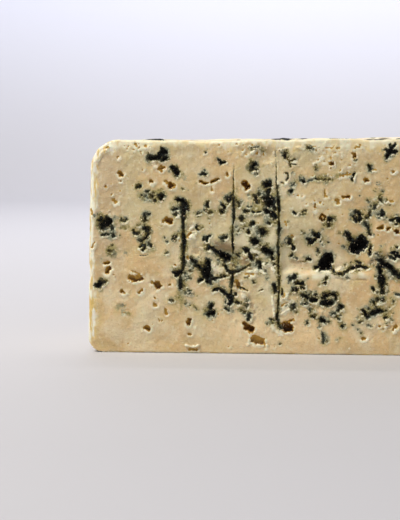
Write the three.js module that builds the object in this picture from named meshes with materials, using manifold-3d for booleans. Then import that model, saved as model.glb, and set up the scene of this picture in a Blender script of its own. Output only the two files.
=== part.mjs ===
// Half of a round blue cheese, standing on its base with the cut face towards -Y.
// Millimetres, +Z up. The origin is on the base, under the middle of the piece.
import * as THREE from "three";
import { mergeVertices } from "three/addons/utils/BufferGeometryUtils.js";
import Module from "manifold-3d";

// The wheel that the half was cut from
const RADIUS = 97.5;
const HEIGHT = 95;
const SHOULDER_ROUND = 13;
const FOOT_ROUND = 7;
const SLUMP = 0.7; // the foot spreads this far past RADIUS, and the shoulder draws in as far
const TOP_RISE = 1.3; // the right end of the top stands this much above the left end
const TOP_WAVE = 0.3;
const TOP_SWELLS = [13, 21]; // the top's broad waves, as lengths along X and Y
const TOP_RIPPLES = [5.5, 9]; // its short waves, half as high
const SIDE_WAVE = 0.35;
const SIDE_WAVE_COUNTS = [2, 5, 11]; // waves round the side, each set weaker than the one before
const SIDE_WAVE_LEAN = 30; // the waves lean by one radian for each of these heights
const WHEEL_SIDES = 100;
const FOOT_STEPS = 4;
const SIDE_STEPS = 6;
const SHOULDER_STEPS = 7;
const TOP_RINGS = [0.86, 0.66, 0.44, 0.22]; // rings of points on the top, as shares of its flat radius

// The cut
const CUT_Y = -0.5; // the knife passed this far in front of the wheel's axis
const CUT_ROUND = 3; // smeared edge between the cut face and the rind
const RIND_GAP = 0.5; // the edge's round starts this far outside the rind
const FOOT_DIP = 2.2; // and this far below the base, where the edge is nearly sharp
const ROUND_STEPS = 4;
const SLAB = 4; // thickness of the slab that shapes the edge
const ROOM = 20; // how far the cutting shapes reach past the wheel

// Needle channels in the cut face: [across from the left end, lowest point, highest point]
const CHANNELS = [
  [42.2, 29, 69],
  [64.6, 22, 82],
  [84.8, 9, 93],
  [106, 5, 36],
  [131, 27, 40],
  [153, 24, 71],
  [175, 30, 60],
];
const CHANNEL_RADIUS = 0.95;
const CHANNEL_WANDER = 0.5;
const CHANNEL_BEND = 9; // one bend of the channel for each of these lengths
const TUBE_SIDES = 7;

// Fissures between the curds, each its half width and the [across, up] places that it runs through
const FISSURES = [
  { half: 0.8, places: [[46.4, 42.4], [49.5, 39.8], [52.2, 38.2]] },
  { half: 0.8, places: [[53.5, 33.6], [56.8, 33.4], [60, 34.4], [62, 33.2]] },
  { half: 0.9, places: [[54.8, 47.2], [58, 45.6], [61.2, 43.4], [66, 44]] },
  { half: 0.7, places: [[61.6, 40.4], [64.2, 37.2], [67.4, 37], [70.2, 38.8], [73, 39.4]] },
  { half: 0.7, places: [[91.5, 42.4], [95.4, 41.4], [98.6, 42.2], [103, 40.6]] },
  { half: 0.8, places: [[108.6, 38.6], [111.6, 36.6], [115, 37.2], [119, 39.8], [124.6, 39.4]] },
  { half: 1, places: [[129.2, 45.2], [130.6, 42], [134.6, 40.2], [137.6, 36.6], [146, 34.4]] },
  { half: 0.7, places: [[93.4, 77.6], [97, 77], [102, 78.4], [108, 78.2], [113, 80.2], [118, 80.2]] },
];

// Hollows in the cut face, each [across from the left end, up from the base, width, height, depth]
const MOULD_POCKETS = [
  [7, 58.3, 6, 5.6, 3.4],
  [28.6, 87.5, 5.6, 3.2, 2.4],
  [33, 89.3, 4.2, 4.6, 2.4],
  [38.6, 82.4, 3.2, 4.4, 2.4],
  [25.6, 54, 3.4, 5, 2.2],
  [42, 66, 5, 6.4, 3],
  [73.4, 83.6, 5.2, 5, 3],
  [80.8, 68.6, 4.8, 6.4, 3.4],
  [52.7, 36.2, 4.2, 7.2, 3.6],
  [61.2, 43.6, 5, 4.4, 3.2],
  [74.3, 50.3, 3.8, 3.4, 2.4],
  [81, 45.2, 5.2, 3.6, 3],
  [106.7, 41.7, 6.2, 7.2, 5],
  [120.7, 48.7, 8.6, 7.8, 6],
  [115.6, 53.4, 3.6, 3.2, 2.4],
  [133.6, 40.6, 7, 2.6, 3],
  [120, 62, 3.4, 4.8, 2.4],
  [101.4, 53, 3.8, 3.2, 2],
  [107.2, 23.2, 6.2, 3.8, 3],
  [128.2, 19.6, 4.4, 2.8, 2.2],
  [63.6, 24, 2.8, 5, 2.4],
  [54.6, 18.6, 3.6, 4.6, 2.4],
  [134.6, 91, 3.6, 5.4, 2.4],
  [4.8, 31, 3.8, 3.6, 2],
  [143.6, 56, 3.4, 3.8, 2.4],
  [149.6, 66.4, 4.4, 5, 3],
  [146, 27.4, 4.2, 3.2, 2.6],
  [158.4, 45.8, 6.4, 5.4, 4],
  [164.6, 71.6, 3.6, 4, 2.4],
  [167, 33.6, 4.6, 3.6, 2.8],
  [171.6, 52.2, 3.2, 3.6, 2.2],
  [180.8, 44.6, 5.2, 5.6, 3.2],
  [183.6, 66, 3.2, 3, 2],
  [157, 84.6, 4, 3.2, 2.4],
  [160.4, 17.6, 3.8, 3.4, 2.4],
];
const BROWN_EYES = [
  [36.5, 74.6, 2.8, 3.4, 2],
  [70.6, 75.2, 3.4, 3.8, 2.2],
  [35.4, 59.4, 4, 3.4, 2.2],
  [21, 33.6, 7.4, 4.2, 2.6],
  [8, 37.2, 2.8, 3.8, 2],
  [30.7, 30.3, 3.2, 3.2, 2],
  [25.8, 10.9, 3.4, 2, 1.8],
  [44.4, 14.2, 2.6, 3, 2],
  [72.3, 11.4, 4, 3.8, 2.6],
  [75.2, 6.3, 6.6, 4.2, 2.4],
  [88.7, 12, 5.8, 4.8, 3.4],
  [118.2, 89, 2.4, 3.2, 1.8],
  [115, 70.1, 3.8, 2, 1.8],
  [130.2, 56.5, 3, 2.2, 1.6],
  [148, 81, 2.6, 2.8, 1.8],
  [152, 12, 4.2, 3, 2.2],
  [163, 60.6, 2.6, 2.4, 1.6],
  [169.4, 83, 2.4, 2.6, 1.6],
  [174.6, 20.6, 3.6, 3, 2],
  [186.2, 29, 2.8, 3.4, 1.8],
];
const FLAKED_SCOOP = [77.6, 88.6, 11.5, 8.4, 1.3]; // a flake pulled off beside the third channel
const LUMP_ROUGHNESS = 0.3;

// Mouths of the needle channels in the top
const MOUTH_PITCH = 22;
const MOUTH_WIDTH = 2.4;
const MOUTH_DEPTH = 1.6;
const MOUTH_MARGIN = 17; // none lie closer to the rind's side or the cut than this
const MOUTH_STRAY = 2.5; // how far a mouth lies off its row, by a rule that looks uneven

const DRAW_SEED = 20261;
const MERGE_GAP = 1e-4; // points closer than this are one point

const wasm = await Module();
wasm.setup();

// Seeded random numbers from 0 to 1.
function makeDraw(seed) {
  let state = seed >>> 0;
  return () => {
    state = (state + 0x6d2b79f5) >>> 0;
    let mixed = Math.imul(state ^ (state >>> 15), state | 1);
    mixed ^= mixed + Math.imul(mixed ^ (mixed >>> 7), mixed | 61);
    return ((mixed ^ (mixed >>> 14)) >>> 0) / 2 ** 32;
  };
}

const draw = makeDraw(DRAW_SEED);

// A closed geometry with only its corner points, shared between its triangles.
function bare(geometry) {
  geometry.deleteAttribute("normal");
  geometry.deleteAttribute("uv");
  return mergeVertices(geometry, MERGE_GAP);
}

function solid(geometry) {
  const closed = bare(geometry);
  const vertProperties = new Float32Array(closed.attributes.position.array);
  const triVerts = new Uint32Array(closed.index.array);
  return new wasm.Manifold(new wasm.Mesh({ numProp: 3, vertProperties, triVerts }));
}

function movePoints(geometry, move) {
  const places = geometry.attributes.position;
  const point = new THREE.Vector3();
  for (let i = 0; i < places.count; i += 1) {
    point.fromBufferAttribute(places, i);
    move(point);
    places.setXYZ(i, point.x, point.y, point.z);
  }
  return geometry;
}

// Radius of the slumped side at a height.
function sideRadius(z) {
  return RADIUS + SLUMP * Math.cos((Math.PI * z) / HEIGHT);
}

function arcPoints(centreX, centreY, radius, from, to, steps) {
  const points = [];
  for (let i = 0; i <= steps; i += 1) {
    const turn = THREE.MathUtils.lerp(from, to, i / steps);
    points.push(new THREE.Vector2(centreX + radius * Math.cos(turn), centreY + radius * Math.sin(turn)));
  }
  return points;
}

// Half section of the wheel, from the middle of the base, up the side, to the middle of the top.
function wheelProfile() {
  const footCentre = sideRadius(FOOT_ROUND) - FOOT_ROUND;
  const shoulderZ = HEIGHT - SHOULDER_ROUND;
  const topFlat = sideRadius(shoulderZ) - SHOULDER_ROUND;
  const points = [new THREE.Vector2(0, 0)];
  points.push(...arcPoints(footCentre, FOOT_ROUND, FOOT_ROUND, -Math.PI / 2, 0, FOOT_STEPS));
  for (let i = 1; i < SIDE_STEPS; i += 1) {
    const z = THREE.MathUtils.lerp(FOOT_ROUND, shoulderZ, i / SIDE_STEPS);
    points.push(new THREE.Vector2(sideRadius(z), z));
  }
  points.push(...arcPoints(topFlat, shoulderZ, SHOULDER_ROUND, 0, Math.PI / 2, SHOULDER_STEPS));
  for (const share of TOP_RINGS) {
    points.push(new THREE.Vector2(topFlat * share, HEIGHT));
  }
  points.push(new THREE.Vector2(0, HEIGHT));
  return points;
}

// Moves a point of the true wheel to where the uneven, settled cheese has it. The base stays flat.
function settle(point) {
  const turn = Math.atan2(point.y, point.x);
  const rim = Math.hypot(point.x, point.y) / RADIUS;
  let waves = 0;
  SIDE_WAVE_COUNTS.forEach((count, i) => {
    waves += Math.sin(count * turn + (i * point.z) / SIDE_WAVE_LEAN) / (i + 1);
  });
  const spread = 1 + (SIDE_WAVE * waves * rim) / RADIUS;
  const rise = (TOP_RISE * (point.x / RADIUS + 1)) / 2;
  const swells = Math.cos(point.x / TOP_SWELLS[0]) * Math.cos(point.y / TOP_SWELLS[1]);
  const ripples = Math.sin(point.x / TOP_RIPPLES[0] + point.y / TOP_RIPPLES[1]) / 2;
  const lift = (rise + TOP_WAVE * (swells + ripples)) * (point.z / HEIGHT) ** 2;
  point.set(point.x * spread, point.y * spread, point.z + lift);
}

function makeWheel() {
  const lathe = new THREE.LatheGeometry(wheelProfile(), WHEEL_SIDES);
  lathe.rotateX(Math.PI / 2);
  lathe.rotateZ(Math.PI / WHEEL_SIDES);
  return solid(movePoints(lathe, settle));
}

// Outline of the settled wheel where the knife passed, a little larger than the rind.
function cutOutline() {
  const right = wheelProfile().slice(1);
  const left = right.slice(0, -1).reverse().map((p) => new THREE.Vector2(-p.x, p.y));
  return [...right, ...left].map((p) => {
    const point = new THREE.Vector3(p.x, 0, p.y);
    settle(point);
    const grown = (point.x * (RADIUS + RIND_GAP)) / RADIUS;
    return new THREE.Vector2(grown, point.z + ((RIND_GAP + FOOT_DIP) * point.z) / HEIGHT - FOOT_DIP);
  });
}

// Everything behind the cut, with the cut face's edge rounded.
function makeKeptSide() {
  const slab = new THREE.ExtrudeGeometry(new THREE.Shape(cutOutline()), {
    depth: SLAB,
    bevelEnabled: true,
    bevelThickness: CUT_ROUND,
    bevelSize: CUT_ROUND,
    bevelOffset: -CUT_ROUND,
    bevelSegments: ROUND_STEPS,
  });
  slab.rotateX(Math.PI / 2);
  slab.translate(0, CUT_Y + SLAB + CUT_ROUND, 0);
  const front = CUT_Y + CUT_ROUND + SLAB / 2;
  const back = RADIUS + ROOM;
  const rest = new THREE.BoxGeometry(2 * back, back - front, HEIGHT + 2 * ROOM);
  rest.translate(0, (front + back) / 2, HEIGHT / 2);
  return solid(slab).add(solid(rest));
}

// A rough pebble of the given width, depth and height, centred on a point.
function makeLump(size, centre) {
  const lump = bare(new THREE.IcosahedronGeometry(0.5, 1));
  movePoints(lump, (point) => point.multiplyScalar(1 + LUMP_ROUGHNESS * (draw() - 0.5)));
  lump.scale(size.x, size.y, size.z);
  lump.translate(centre.x, centre.y, centre.z);
  return solid(lump);
}

function makeHollow([across, up, wide, high, deep]) {
  const size = new THREE.Vector3(wide, 2 * deep, high);
  return makeLump(size, new THREE.Vector3(across - RADIUS, CUT_Y, up));
}

// A tube along the cut face, half of it in the cheese, through [across, up] places.
function makeTube(half, places) {
  const section = new THREE.Shape(arcPoints(0, 0, half, 0, 2 * Math.PI, TUBE_SIDES).slice(1));
  const route = places.map(([across, up]) => new THREE.Vector3(across - RADIUS, CUT_Y, up));
  const extrudePath = new THREE.CatmullRomCurve3(route);
  const steps = 2 * (places.length - 1);
  return solid(new THREE.ExtrudeGeometry(section, { steps, extrudePath, bevelEnabled: false }));
}

function makeChannel([across, low, high]) {
  const bends = Math.round((high - low) / CHANNEL_BEND);
  const places = [];
  for (let i = 0; i <= bends; i += 1) {
    const stray = CHANNEL_WANDER * (2 * draw() - 1);
    places.push([across + stray, THREE.MathUtils.lerp(low, high, i / bends)]);
  }
  return makeTube(CHANNEL_RADIUS, places);
}

// Dimples in the top, in rows behind the channels that the cut face shows.
function makeMouths() {
  const mouths = [];
  const size = new THREE.Vector3(MOUTH_WIDTH, MOUTH_WIDTH, 2 * MOUTH_DEPTH);
  const rows = Math.ceil((RADIUS - MOUTH_MARGIN) / MOUTH_PITCH);
  CHANNELS.forEach(([across], column) => {
    for (let row = 0; row < rows; row += 1) {
      const x = across - RADIUS + MOUTH_STRAY * Math.sin(7 * column + 3 * row);
      const y = MOUTH_MARGIN + MOUTH_PITCH * row + MOUTH_STRAY * Math.cos(5 * column + 11 * row);
      if (Math.hypot(x, y) < RADIUS - MOUTH_MARGIN) {
        const place = new THREE.Vector3(x, y, HEIGHT);
        settle(place);
        mouths.push(makeLump(size, place));
      }
    }
  });
  return mouths;
}

function makeCheese() {
  const cuts = [...MOULD_POCKETS, ...BROWN_EYES, FLAKED_SCOOP].map(makeHollow);
  cuts.push(...CHANNELS.map(makeChannel), ...makeMouths());
  cuts.push(...FISSURES.map(({ half, places }) => makeTube(half, places)));
  const cut = cuts.reduce((joined, next) => joined.add(next));
  return makeWheel().intersect(makeKeptSide()).subtract(cut);
}

// The solid's triangles, moved so that the base stands at zero under the middle of the piece.
function centredGeometry(body) {
  const { vertProperties, triVerts } = body.getMesh();
  const geometry = new THREE.BufferGeometry();
  geometry.setAttribute("position", new THREE.BufferAttribute(vertProperties, 3));
  geometry.setIndex(new THREE.BufferAttribute(triVerts, 1));
  geometry.computeBoundingBox();
  const { min, max } = geometry.boundingBox;
  geometry.translate(-(min.x + max.x) / 2, -(min.y + max.y) / 2, -min.z);
  geometry.computeVertexNormals();
  return geometry;
}

const paste = new THREE.MeshStandardMaterial({ color: 0xd3bd95, roughness: 0.62, metalness: 0 });
const cheese = new THREE.Mesh(centredGeometry(makeCheese()), paste);
cheese.name = "cheese";

const halfWheel = new THREE.Group();
halfWheel.add(cheese);

export default halfWheel;
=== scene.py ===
"""A half wheel of blue-veined cheese, standing on its base with its cut face forward.

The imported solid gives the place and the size. One closed mesh stands for it: the cut face with its needle
channels, mould pockets, eyes and fissures, and the rind round it. Lengths are millimetres on the whole
wheel, whose axis is at zero, until a mesh is handed over in metres.
"""

import itertools
import logging
import math
from collections.abc import Callable, Sequence
from dataclasses import dataclass
from enum import Enum
from typing import Any

import bpy
import numpy as np
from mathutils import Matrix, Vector
from mathutils.geometry import delaunay_2d_cdt


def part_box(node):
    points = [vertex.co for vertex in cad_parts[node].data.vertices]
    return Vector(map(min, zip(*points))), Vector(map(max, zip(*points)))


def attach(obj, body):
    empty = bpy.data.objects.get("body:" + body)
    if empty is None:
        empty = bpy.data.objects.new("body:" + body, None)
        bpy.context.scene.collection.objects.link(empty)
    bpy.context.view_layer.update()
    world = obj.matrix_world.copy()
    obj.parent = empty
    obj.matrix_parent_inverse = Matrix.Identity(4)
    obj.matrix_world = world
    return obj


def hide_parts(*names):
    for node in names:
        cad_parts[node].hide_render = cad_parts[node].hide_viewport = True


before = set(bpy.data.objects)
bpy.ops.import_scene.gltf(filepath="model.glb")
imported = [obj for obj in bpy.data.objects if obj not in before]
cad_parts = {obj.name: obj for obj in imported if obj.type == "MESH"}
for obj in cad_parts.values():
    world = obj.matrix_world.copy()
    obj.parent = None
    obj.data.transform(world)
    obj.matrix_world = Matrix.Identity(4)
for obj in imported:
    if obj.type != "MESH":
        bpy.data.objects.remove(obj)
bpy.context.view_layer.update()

LOG = logging.getLogger("half_wheel")
MM = 0.001
BODY = "root"
NODE = "cheese"
# Pockets deeper than this are black holes with a crisp edge
BLACK_FROM = 3.9

Array = np.ndarray
Socket = bpy.types.NodeSocket
Pair = tuple[float, float]
Row = tuple[float, ...]
Colour = tuple[float, float, float, float]


def colour(red: int, green: int, blue: int) -> Colour:
    """Turns a colour as a screen shows it, 0 to 255, into the linear one that shaders take.

    Args:
        red: The red share.
        green: The green share.
        blue: The blue share.

    Returns:
        The linear colour, opaque.
    """
    shares = (channel / 255 for channel in (red, green, blue))
    linear = [s / 12.92 if s <= 0.04045 else ((s + 0.055) / 1.055) ** 2.4 for s in shares]
    return (linear[0], linear[1], linear[2], 1.0)


def smoothstep(low: float, high: float, values: Array) -> Array:
    """Rises smoothly from 0 at low to 1 at high.

    Args:
        low: Where the rise starts.
        high: Where it ends.
        values: The values to map.

    Returns:
        The mapped values, from 0 to 1.
    """
    share = np.clip((values - low) / (high - low), 0, 1)
    return share * share * (3 - 2 * share)


class SmoothNoise:
    """Seeded smooth noise from -1 to 1, for points in two or three dimensions."""

    STRIDES = np.array([73856093, 19349663, 83492791], np.int64)
    TABLE = 8192

    def __init__(self, seed: int) -> None:
        """Draws the noise's own table of values."""
        self.values = np.random.default_rng(seed).uniform(-1, 1, self.TABLE)

    def at(self, points: Array, size: float | Sequence[float]) -> Array:
        """Reads the noise.

        Args:
            points: One row for each point.
            size: How far apart its swells lie, one number or one for each axis.

        Returns:
            One value for each point.
        """
        scaled = points / np.asarray(size, float)
        cell = np.floor(scaled).astype(np.int64)
        share = scaled - cell
        share = share**3 * (share * (share * 6 - 15) + 10)
        strides = self.STRIDES[: points.shape[1]]
        total = np.zeros(len(points))
        for corner in itertools.product((0, 1), repeat=points.shape[1]):
            keys = np.bitwise_xor.reduce((cell + corner) * strides, axis=1) % self.TABLE
            total += np.prod(np.where(corner, share, 1 - share), axis=1) * self.values[keys]
        return total


class CurdCells:
    """Seeded many-sided cells on the face, as curds lie pressed together."""

    def __init__(self, seed: int) -> None:
        """Draws where each cell's middle lies and the cell's own value."""
        self.draws = np.random.default_rng(seed).uniform(0, 1, (SmoothNoise.TABLE, 3))

    def at(self, points: Array, size: float) -> tuple[Array, Array]:
        """Finds the cell that each point lies in.

        Args:
            points: One row for each point, as (across, up).
            size: How far apart the cells' middles lie.

        Returns:
            The way from each point to its cell's middle, and the cell's own value from 0 to 1.
        """
        scaled = points / size
        cell = np.floor(scaled).astype(np.int64)
        nearest = np.full(len(points), np.inf)
        way = np.zeros_like(scaled)
        value = np.zeros(len(points))
        for corner in itertools.product((-1, 0, 1), repeat=2):
            here = cell + corner
            keys = np.bitwise_xor.reduce(here * SmoothNoise.STRIDES[:2], axis=1) % SmoothNoise.TABLE
            to_middle = here + self.draws[keys, :2] - scaled
            away = np.hypot(*to_middle.T)
            closer = away < nearest
            nearest = np.where(closer, away, nearest)
            way = np.where(closer[:, None], to_middle, way)
            value = np.where(closer, self.draws[keys, 2], value)
        return way * size, value


class Kind(Enum):
    """What a mark on the cut face is."""

    POCKET = "hole lined with mould"
    VEIN = "groove lined with mould"
    EYE = "brown bowl"
    OCHRE = "shallow ochre hollow"
    CRACK = "thin brown crack"
    STAIN = "flat blue-grey stain"
    FLAKE = "raised pale flake"
    HOLLOW = "wide shaded hollow"


# Marks on the cut face. A row is the stroke's half width, its depth, and then across and up of each of its
# places, where across starts at the left end of the face. A stain's depth is its strength, and a flake's is
# its height.
POCKETS: tuple[Row, ...] = (
    # Upper left
    (1.35, 2.4, 27.2, 87.7, 30.5, 88, 32.6, 90.2, 33.8, 90.6), (1, 2, 33, 86.9, 34.6, 88.2),
    (1.3, 2.4, 37.6, 83.2, 38.4, 82.6, 39.6, 80.9), (0.75, 1.4, 21.2, 74.8, 22.6, 75.2),
    (0.65, 0.9, 25.6, 72.6, 26.6, 72.8), (0.8, 1.2, 27.6, 70.6, 28.4, 70.2),
    (1.15, 2, 31.9, 69.7, 32.3, 70.3), (0.7, 1, 29.4, 68.4, 29.8, 68.8), (0.5, 0.6, 23.4, 71),
    (0.5, 0.7, 24.8, 70.2), (0.45, 0.6, 26.2, 69.4), (0.6, 0.8, 28.8, 71.8), (0.5, 0.7, 30.6, 71.2),
    (0.6, 0.8, 52.2, 90.1), (0.55, 1.7, 50, 80.4, 51.2, 81, 52.4, 80.2),
    (0.55, 1.7, 58, 86.9, 59.2, 85.4, 61, 85.9), (1.3, 2.6, 40.3, 68.6, 42.3, 67.8, 43.6, 65.6),
    (1.2, 2.4, 41.9, 66, 42.3, 62.5), (0.75, 1.2, 37.8, 65, 39.5, 64.7), (0.8, 1, 38.8, 62.6, 39.2, 61.8),
    (0.8, 1.4, 53.4, 68, 53, 66.4), (0.7, 1.2, 54.2, 63.4), (0.6, 0.8, 52.4, 64.2),
    (0.8, 0.8, 49.4, 63, 48.6, 62.6), (1, 1.6, 60, 66.6, 60.8, 65.6), (0.8, 1.4, 59.4, 63.8, 59.9, 63.2),
    (1.1, 1.4, 62.4, 69.6, 63, 68.8), (0.8, 1.2, 64, 71.2, 63.2, 70),
    (0.6, 1, 66.2, 68.4, 67.4, 67.8, 67.3, 66.2),
    # Beside the third channel
    (1.15, 2.6, 74, 85.2, 73.8, 84), (0.7, 1.2, 72.8, 82.6, 74.6, 82.6),
    (0.35, 0.4, 72.6, 92, 74, 92.6, 76, 92.6), (1.4, 2.4, 79, 75.4, 80.6, 76.2),
    (1, 2, 80.2, 73.6, 80.2, 72), (1.95, 3.4, 80.6, 69.4, 81.4, 67.6), (1, 1.8, 78.8, 70.2, 79.8, 70),
    (0.9, 1.4, 74.2, 70.4, 75.2, 68.2), (0.7, 1, 76.4, 72.4, 76.4, 71.2),
    (1.2, 1.8, 79.2, 64.6, 80.4, 63.2), (1.3, 2, 81.8, 62.8, 83, 61.4), (0.8, 1.2, 83, 65.8, 83.4, 64.8),
    (0.8, 1.2, 80.2, 58.6, 80.8, 58.2), (0.9, 1.4, 68.4, 61.2, 68.8, 60), (1.15, 1.8, 73.4, 58.2),
    (1.5, 2.2, 77.6, 54.9, 78, 54.4), (0.9, 1.4, 71.6, 54.4), (0.6, 1, 67.1, 55), (0.5, 0.7, 66.2, 57),
    (1.5, 2.4, 73.9, 50.8, 75.2, 50.2), (0.6, 1, 77, 48.6), (1.2, 1.6, 70.2, 46.6, 71.4, 46),
    (1.2, 1.6, 72.4, 43.4, 73.2, 42.4), (1.5, 2.8, 79, 46.8, 81.6, 45.4),
    (0.9, 1.6, 81.4, 43.4, 82.4, 42.8), (0.5, 0.8, 83.2, 40.4), (0.6, 0.9, 79.2, 37.2),
    (0.7, 1, 74.8, 44.2), (0.7, 1, 65.6, 26.4), (0.5, 0.8, 81.2, 15.2, 82.8, 15.2),
    (0.5, 1, 65.4, 39.4, 66.4, 38.7), (1, 1.6, 76.4, 41.2, 76.4, 39.4), (0.9, 1.4, 70, 64.2, 71.6, 63.6),
    (0.7, 1, 73.2, 63.9, 74.2, 63.7), (0.6, 0.8, 75.4, 63.4, 76.6, 63.5),
    # Upper right
    (0.9, 1.4, 87.6, 89.8, 88.4, 88.6), (0.65, 1, 97.8, 93, 99, 91.6), (0.35, 0.7, 101, 84.4, 101.4, 82.4),
    (0.8, 1.8, 90.3, 72.7), (0.9, 0.9, 91.4, 76), (0.65, 1, 91.7, 63.3, 92.4, 62.7),
    (0.4, 0.8, 97.1, 64, 96.2, 64.4, 95.4, 63.8, 95.5, 62.9, 96.3, 62.6, 97.1, 63.1),
    (1.15, 2, 107.6, 60.4, 108.5, 60.6), (0.8, 1.4, 106.6, 58.4, 106.9, 57.6),
    (0.55, 1.6, 118.5, 81.2, 117.6, 78.2), (0.75, 1.4, 124.9, 84.6, 125.6, 82.6),
    (1.05, 2.2, 133.2, 88.6, 134, 90.2), (0.95, 2, 134.2, 91, 136.4, 90.8),
    (0.7, 1.4, 135, 91.8, 136.2, 93.4), (0.6, 1.2, 132.4, 91.6, 133.6, 90.9),
    (0.5, 1.2, 134.2, 93.6, 134.4, 92), (0.5, 0.8, 129.8, 71.4, 129.4, 70.2),
    (0.75, 1.2, 130, 69.2, 130.6, 68.4), (0.8, 1, 128, 66.6, 127.2, 65.2),
    (0.5, 0.6, 124.4, 69.2, 124.8, 68.6), (0.55, 0.7, 132.6, 68.7), (0.4, 0.6, 134, 66.7),
    (0.9, 1.8, 119.4, 63.5, 120.5, 63.6, 121, 61.6, 120.6, 60.2), (0.8, 1.6, 118.4, 62, 119.2, 60),
    (0.6, 1.2, 125.9, 64, 125.2, 61.6, 123.6, 60.8),
    (0.75, 1.3, 123.4, 58.6, 124.8, 57.6, 124.8, 55.6, 125.6, 53.8), (0.6, 0.8, 137, 58.6),
    (0.9, 1.4, 131.2, 63.8, 131, 62.2), (0.6, 0.8, 129, 62.6), (0.8, 1.2, 134.8, 60.4, 136.4, 61),
    (1, 2, 137.4, 60.8, 139, 60, 139.6, 58.8),
    # The two great pockets right of the middle and their neighbours
    (2.9, 6, 119.7, 48.2, 121.2, 48.9), (2, 5, 121.3, 51.6, 122.4, 50.4),
    (1.4, 4, 117.4, 48.4, 118.2, 46.4), (1, 2.2, 115, 53.8, 116.4, 52.6, 117.6, 50.6),
    (2.4, 6, 105.2, 40.7, 106.3, 42.3), (1.6, 5, 104.2, 39.4, 106.8, 39), (1.4, 5, 107.7, 43.9, 108, 41.8),
    (0.7, 1.6, 101.4, 38.6, 102.2, 39), (0.75, 1.6, 125.7, 48.4, 125.8, 44.8), (0.5, 0.8, 128.4, 45.2),
    (0.9, 1.8, 100.4, 53.8, 102.2, 53.8, 102.6, 52.2), (1, 1.6, 98.2, 51.6, 99.4, 50.4, 100.6, 51),
    (0.55, 0.9, 103.6, 50.6), (0.6, 0.9, 102.4, 46.8, 103, 45.4), (0.4, 0.6, 96.4, 53.8),
    (0.45, 0.8, 107.1, 50.2), (1, 1.4, 89.4, 51, 89.2, 49.6), (0.8, 1.4, 91, 48.6, 91.6, 47),
    (0.8, 1.4, 90.7, 44), (0.5, 0.8, 92, 43.2, 93, 42.8), (0.5, 0.8, 69.4, 56.3),
    # Left
    (2.15, 3.4, 6.3, 57.6, 8, 58.9), (1, 2, 4.6, 59.4, 5.4, 60.4), (0.85, 0.7, 14.4, 59.3, 16.2, 60),
    (0.9, 1.8, 5.6, 56), (0.8, 1, 9.6, 56.8, 10.6, 55.8), (0.8, 0.9, 8.6, 46, 9.8, 45.4),
    (0.6, 1.4, 5.6, 52.9, 8, 53.1), (0.7, 1.4, 10.2, 53.2, 10.6, 52.4), (0.9, 1.6, 24.6, 61.6, 24.8, 59.6),
    (0.6, 1, 26.2, 62.2, 27, 62.4), (1.1, 1.8, 24.6, 56, 26.2, 55), (0.9, 1.6, 26.4, 53.4, 25.6, 51.6),
    (0.7, 1.2, 25, 51, 22.8, 50.6), (0.7, 1.2, 19.4, 55, 20.6, 53.4, 22.2, 53.8), (0.45, 0.6, 22, 57.4),
    (0.6, 1.2, 22.6, 47.4, 23.4, 48.6, 24.8, 48.4, 25.2, 47, 24, 46.2), (0.7, 1, 26.6, 48.8, 27.6, 48.2),
    (0.4, 0.6, 28.6, 47), (0.8, 1.2, 39.2, 52.6, 38, 51.2), (0.5, 0.8, 34.8, 50), (0.4, 0.6, 33.7, 51.8),
    (0.6, 0.8, 34.7, 45), (1.2, 2.2, 3.8, 29.8, 5.4, 31.4), (0.8, 1, 6.8, 32),
    # Lower middle
    (0.7, 1.4, 54.2, 52.8, 52.8, 52.2, 52.8, 50.4), (0.5, 1, 51.2, 52.4, 51.6, 51),
    (0.6, 1, 48, 57, 49.2, 55.6), (0.8, 1.4, 59.6, 51.8, 61.2, 52), (0.4, 0.7, 60.4, 50.4),
    (0.6, 0.8, 52.6, 46.8, 54.2, 46.6), (1.9, 3.4, 60, 43.6, 61.8, 42.8), (0.8, 1, 63.4, 42.8, 64.6, 42),
    (0.7, 0.9, 66, 44.4, 67.4, 43.4), (0.5, 0.6, 67.4, 44.8), (0.5, 0.6, 65.4, 41.6),
    (2.1, 3.6, 52.3, 37.6, 52.8, 35), (1.3, 2.8, 53.6, 40.8, 53.4, 38.4), (1.4, 4.2, 60.1, 44.3, 61.9, 43),
    (1.3, 2.6, 53.2, 33.6, 53.4, 32), (0.8, 1.8, 49.8, 32.6, 50.6, 33.2),
    (1.1, 1.8, 39.1, 35.3, 41.2, 36.2), (0.6, 1, 45.4, 36.8), (0.35, 0.7, 43.4, 33.2, 45.4, 33.5),
    (1, 1.8, 40.8, 31.6, 41, 29.4), (0.6, 0.9, 45, 27.8), (0.5, 0.7, 43.4, 26.8),
    (0.6, 0.7, 36.4, 23.6, 37.8, 23.3), (0.5, 0.5, 43.2, 22.4), (0.4, 0.5, 47, 21.6, 48.4, 19.6),
    (1, 1.8, 54.6, 21.6, 54.4, 20.2), (1.25, 2.4, 53.7, 17.7, 55.3, 17.8),
    (1.2, 2.4, 63.4, 25.6, 63.6, 22.8), (0.45, 0.8, 61.1, 23.8, 61, 22.6), (0.8, 1, 61.2, 20.2, 62.4, 19.6),
    (0.7, 1.2, 66, 23.2, 67.6, 22.4), (0.85, 1.6, 55.6, 28.2, 58, 29, 60.2, 28),
    (0.7, 1.4, 60, 28, 62.2, 26.2), (0.6, 0.8, 68, 19.6, 69.6, 18.6), (0.7, 0.6, 71, 24, 70.6, 21),
    (1, 0.9, 71.8, 17.6, 71.6, 15.4), (0.9, 1.6, 82.8, 30.6, 83.6, 28.4),
    (0.6, 0.9, 86.4, 28.6, 86.6, 27.2), (0.5, 0.8, 74.1, 31.6), (0.5, 0.6, 80, 33.8),
    # Lower right
    (1, 1.6, 90.6, 34, 92.2, 34.6), (0.9, 1.6, 93.2, 31.8, 96, 31.2), (0.9, 1.6, 91.8, 28.6, 93, 28.8),
    (0.7, 1.2, 95.4, 29.8, 96.4, 29.6), (1, 1.8, 96.4, 26, 97.8, 25.6), (1, 2, 99.4, 24.4, 101.6, 24),
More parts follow.
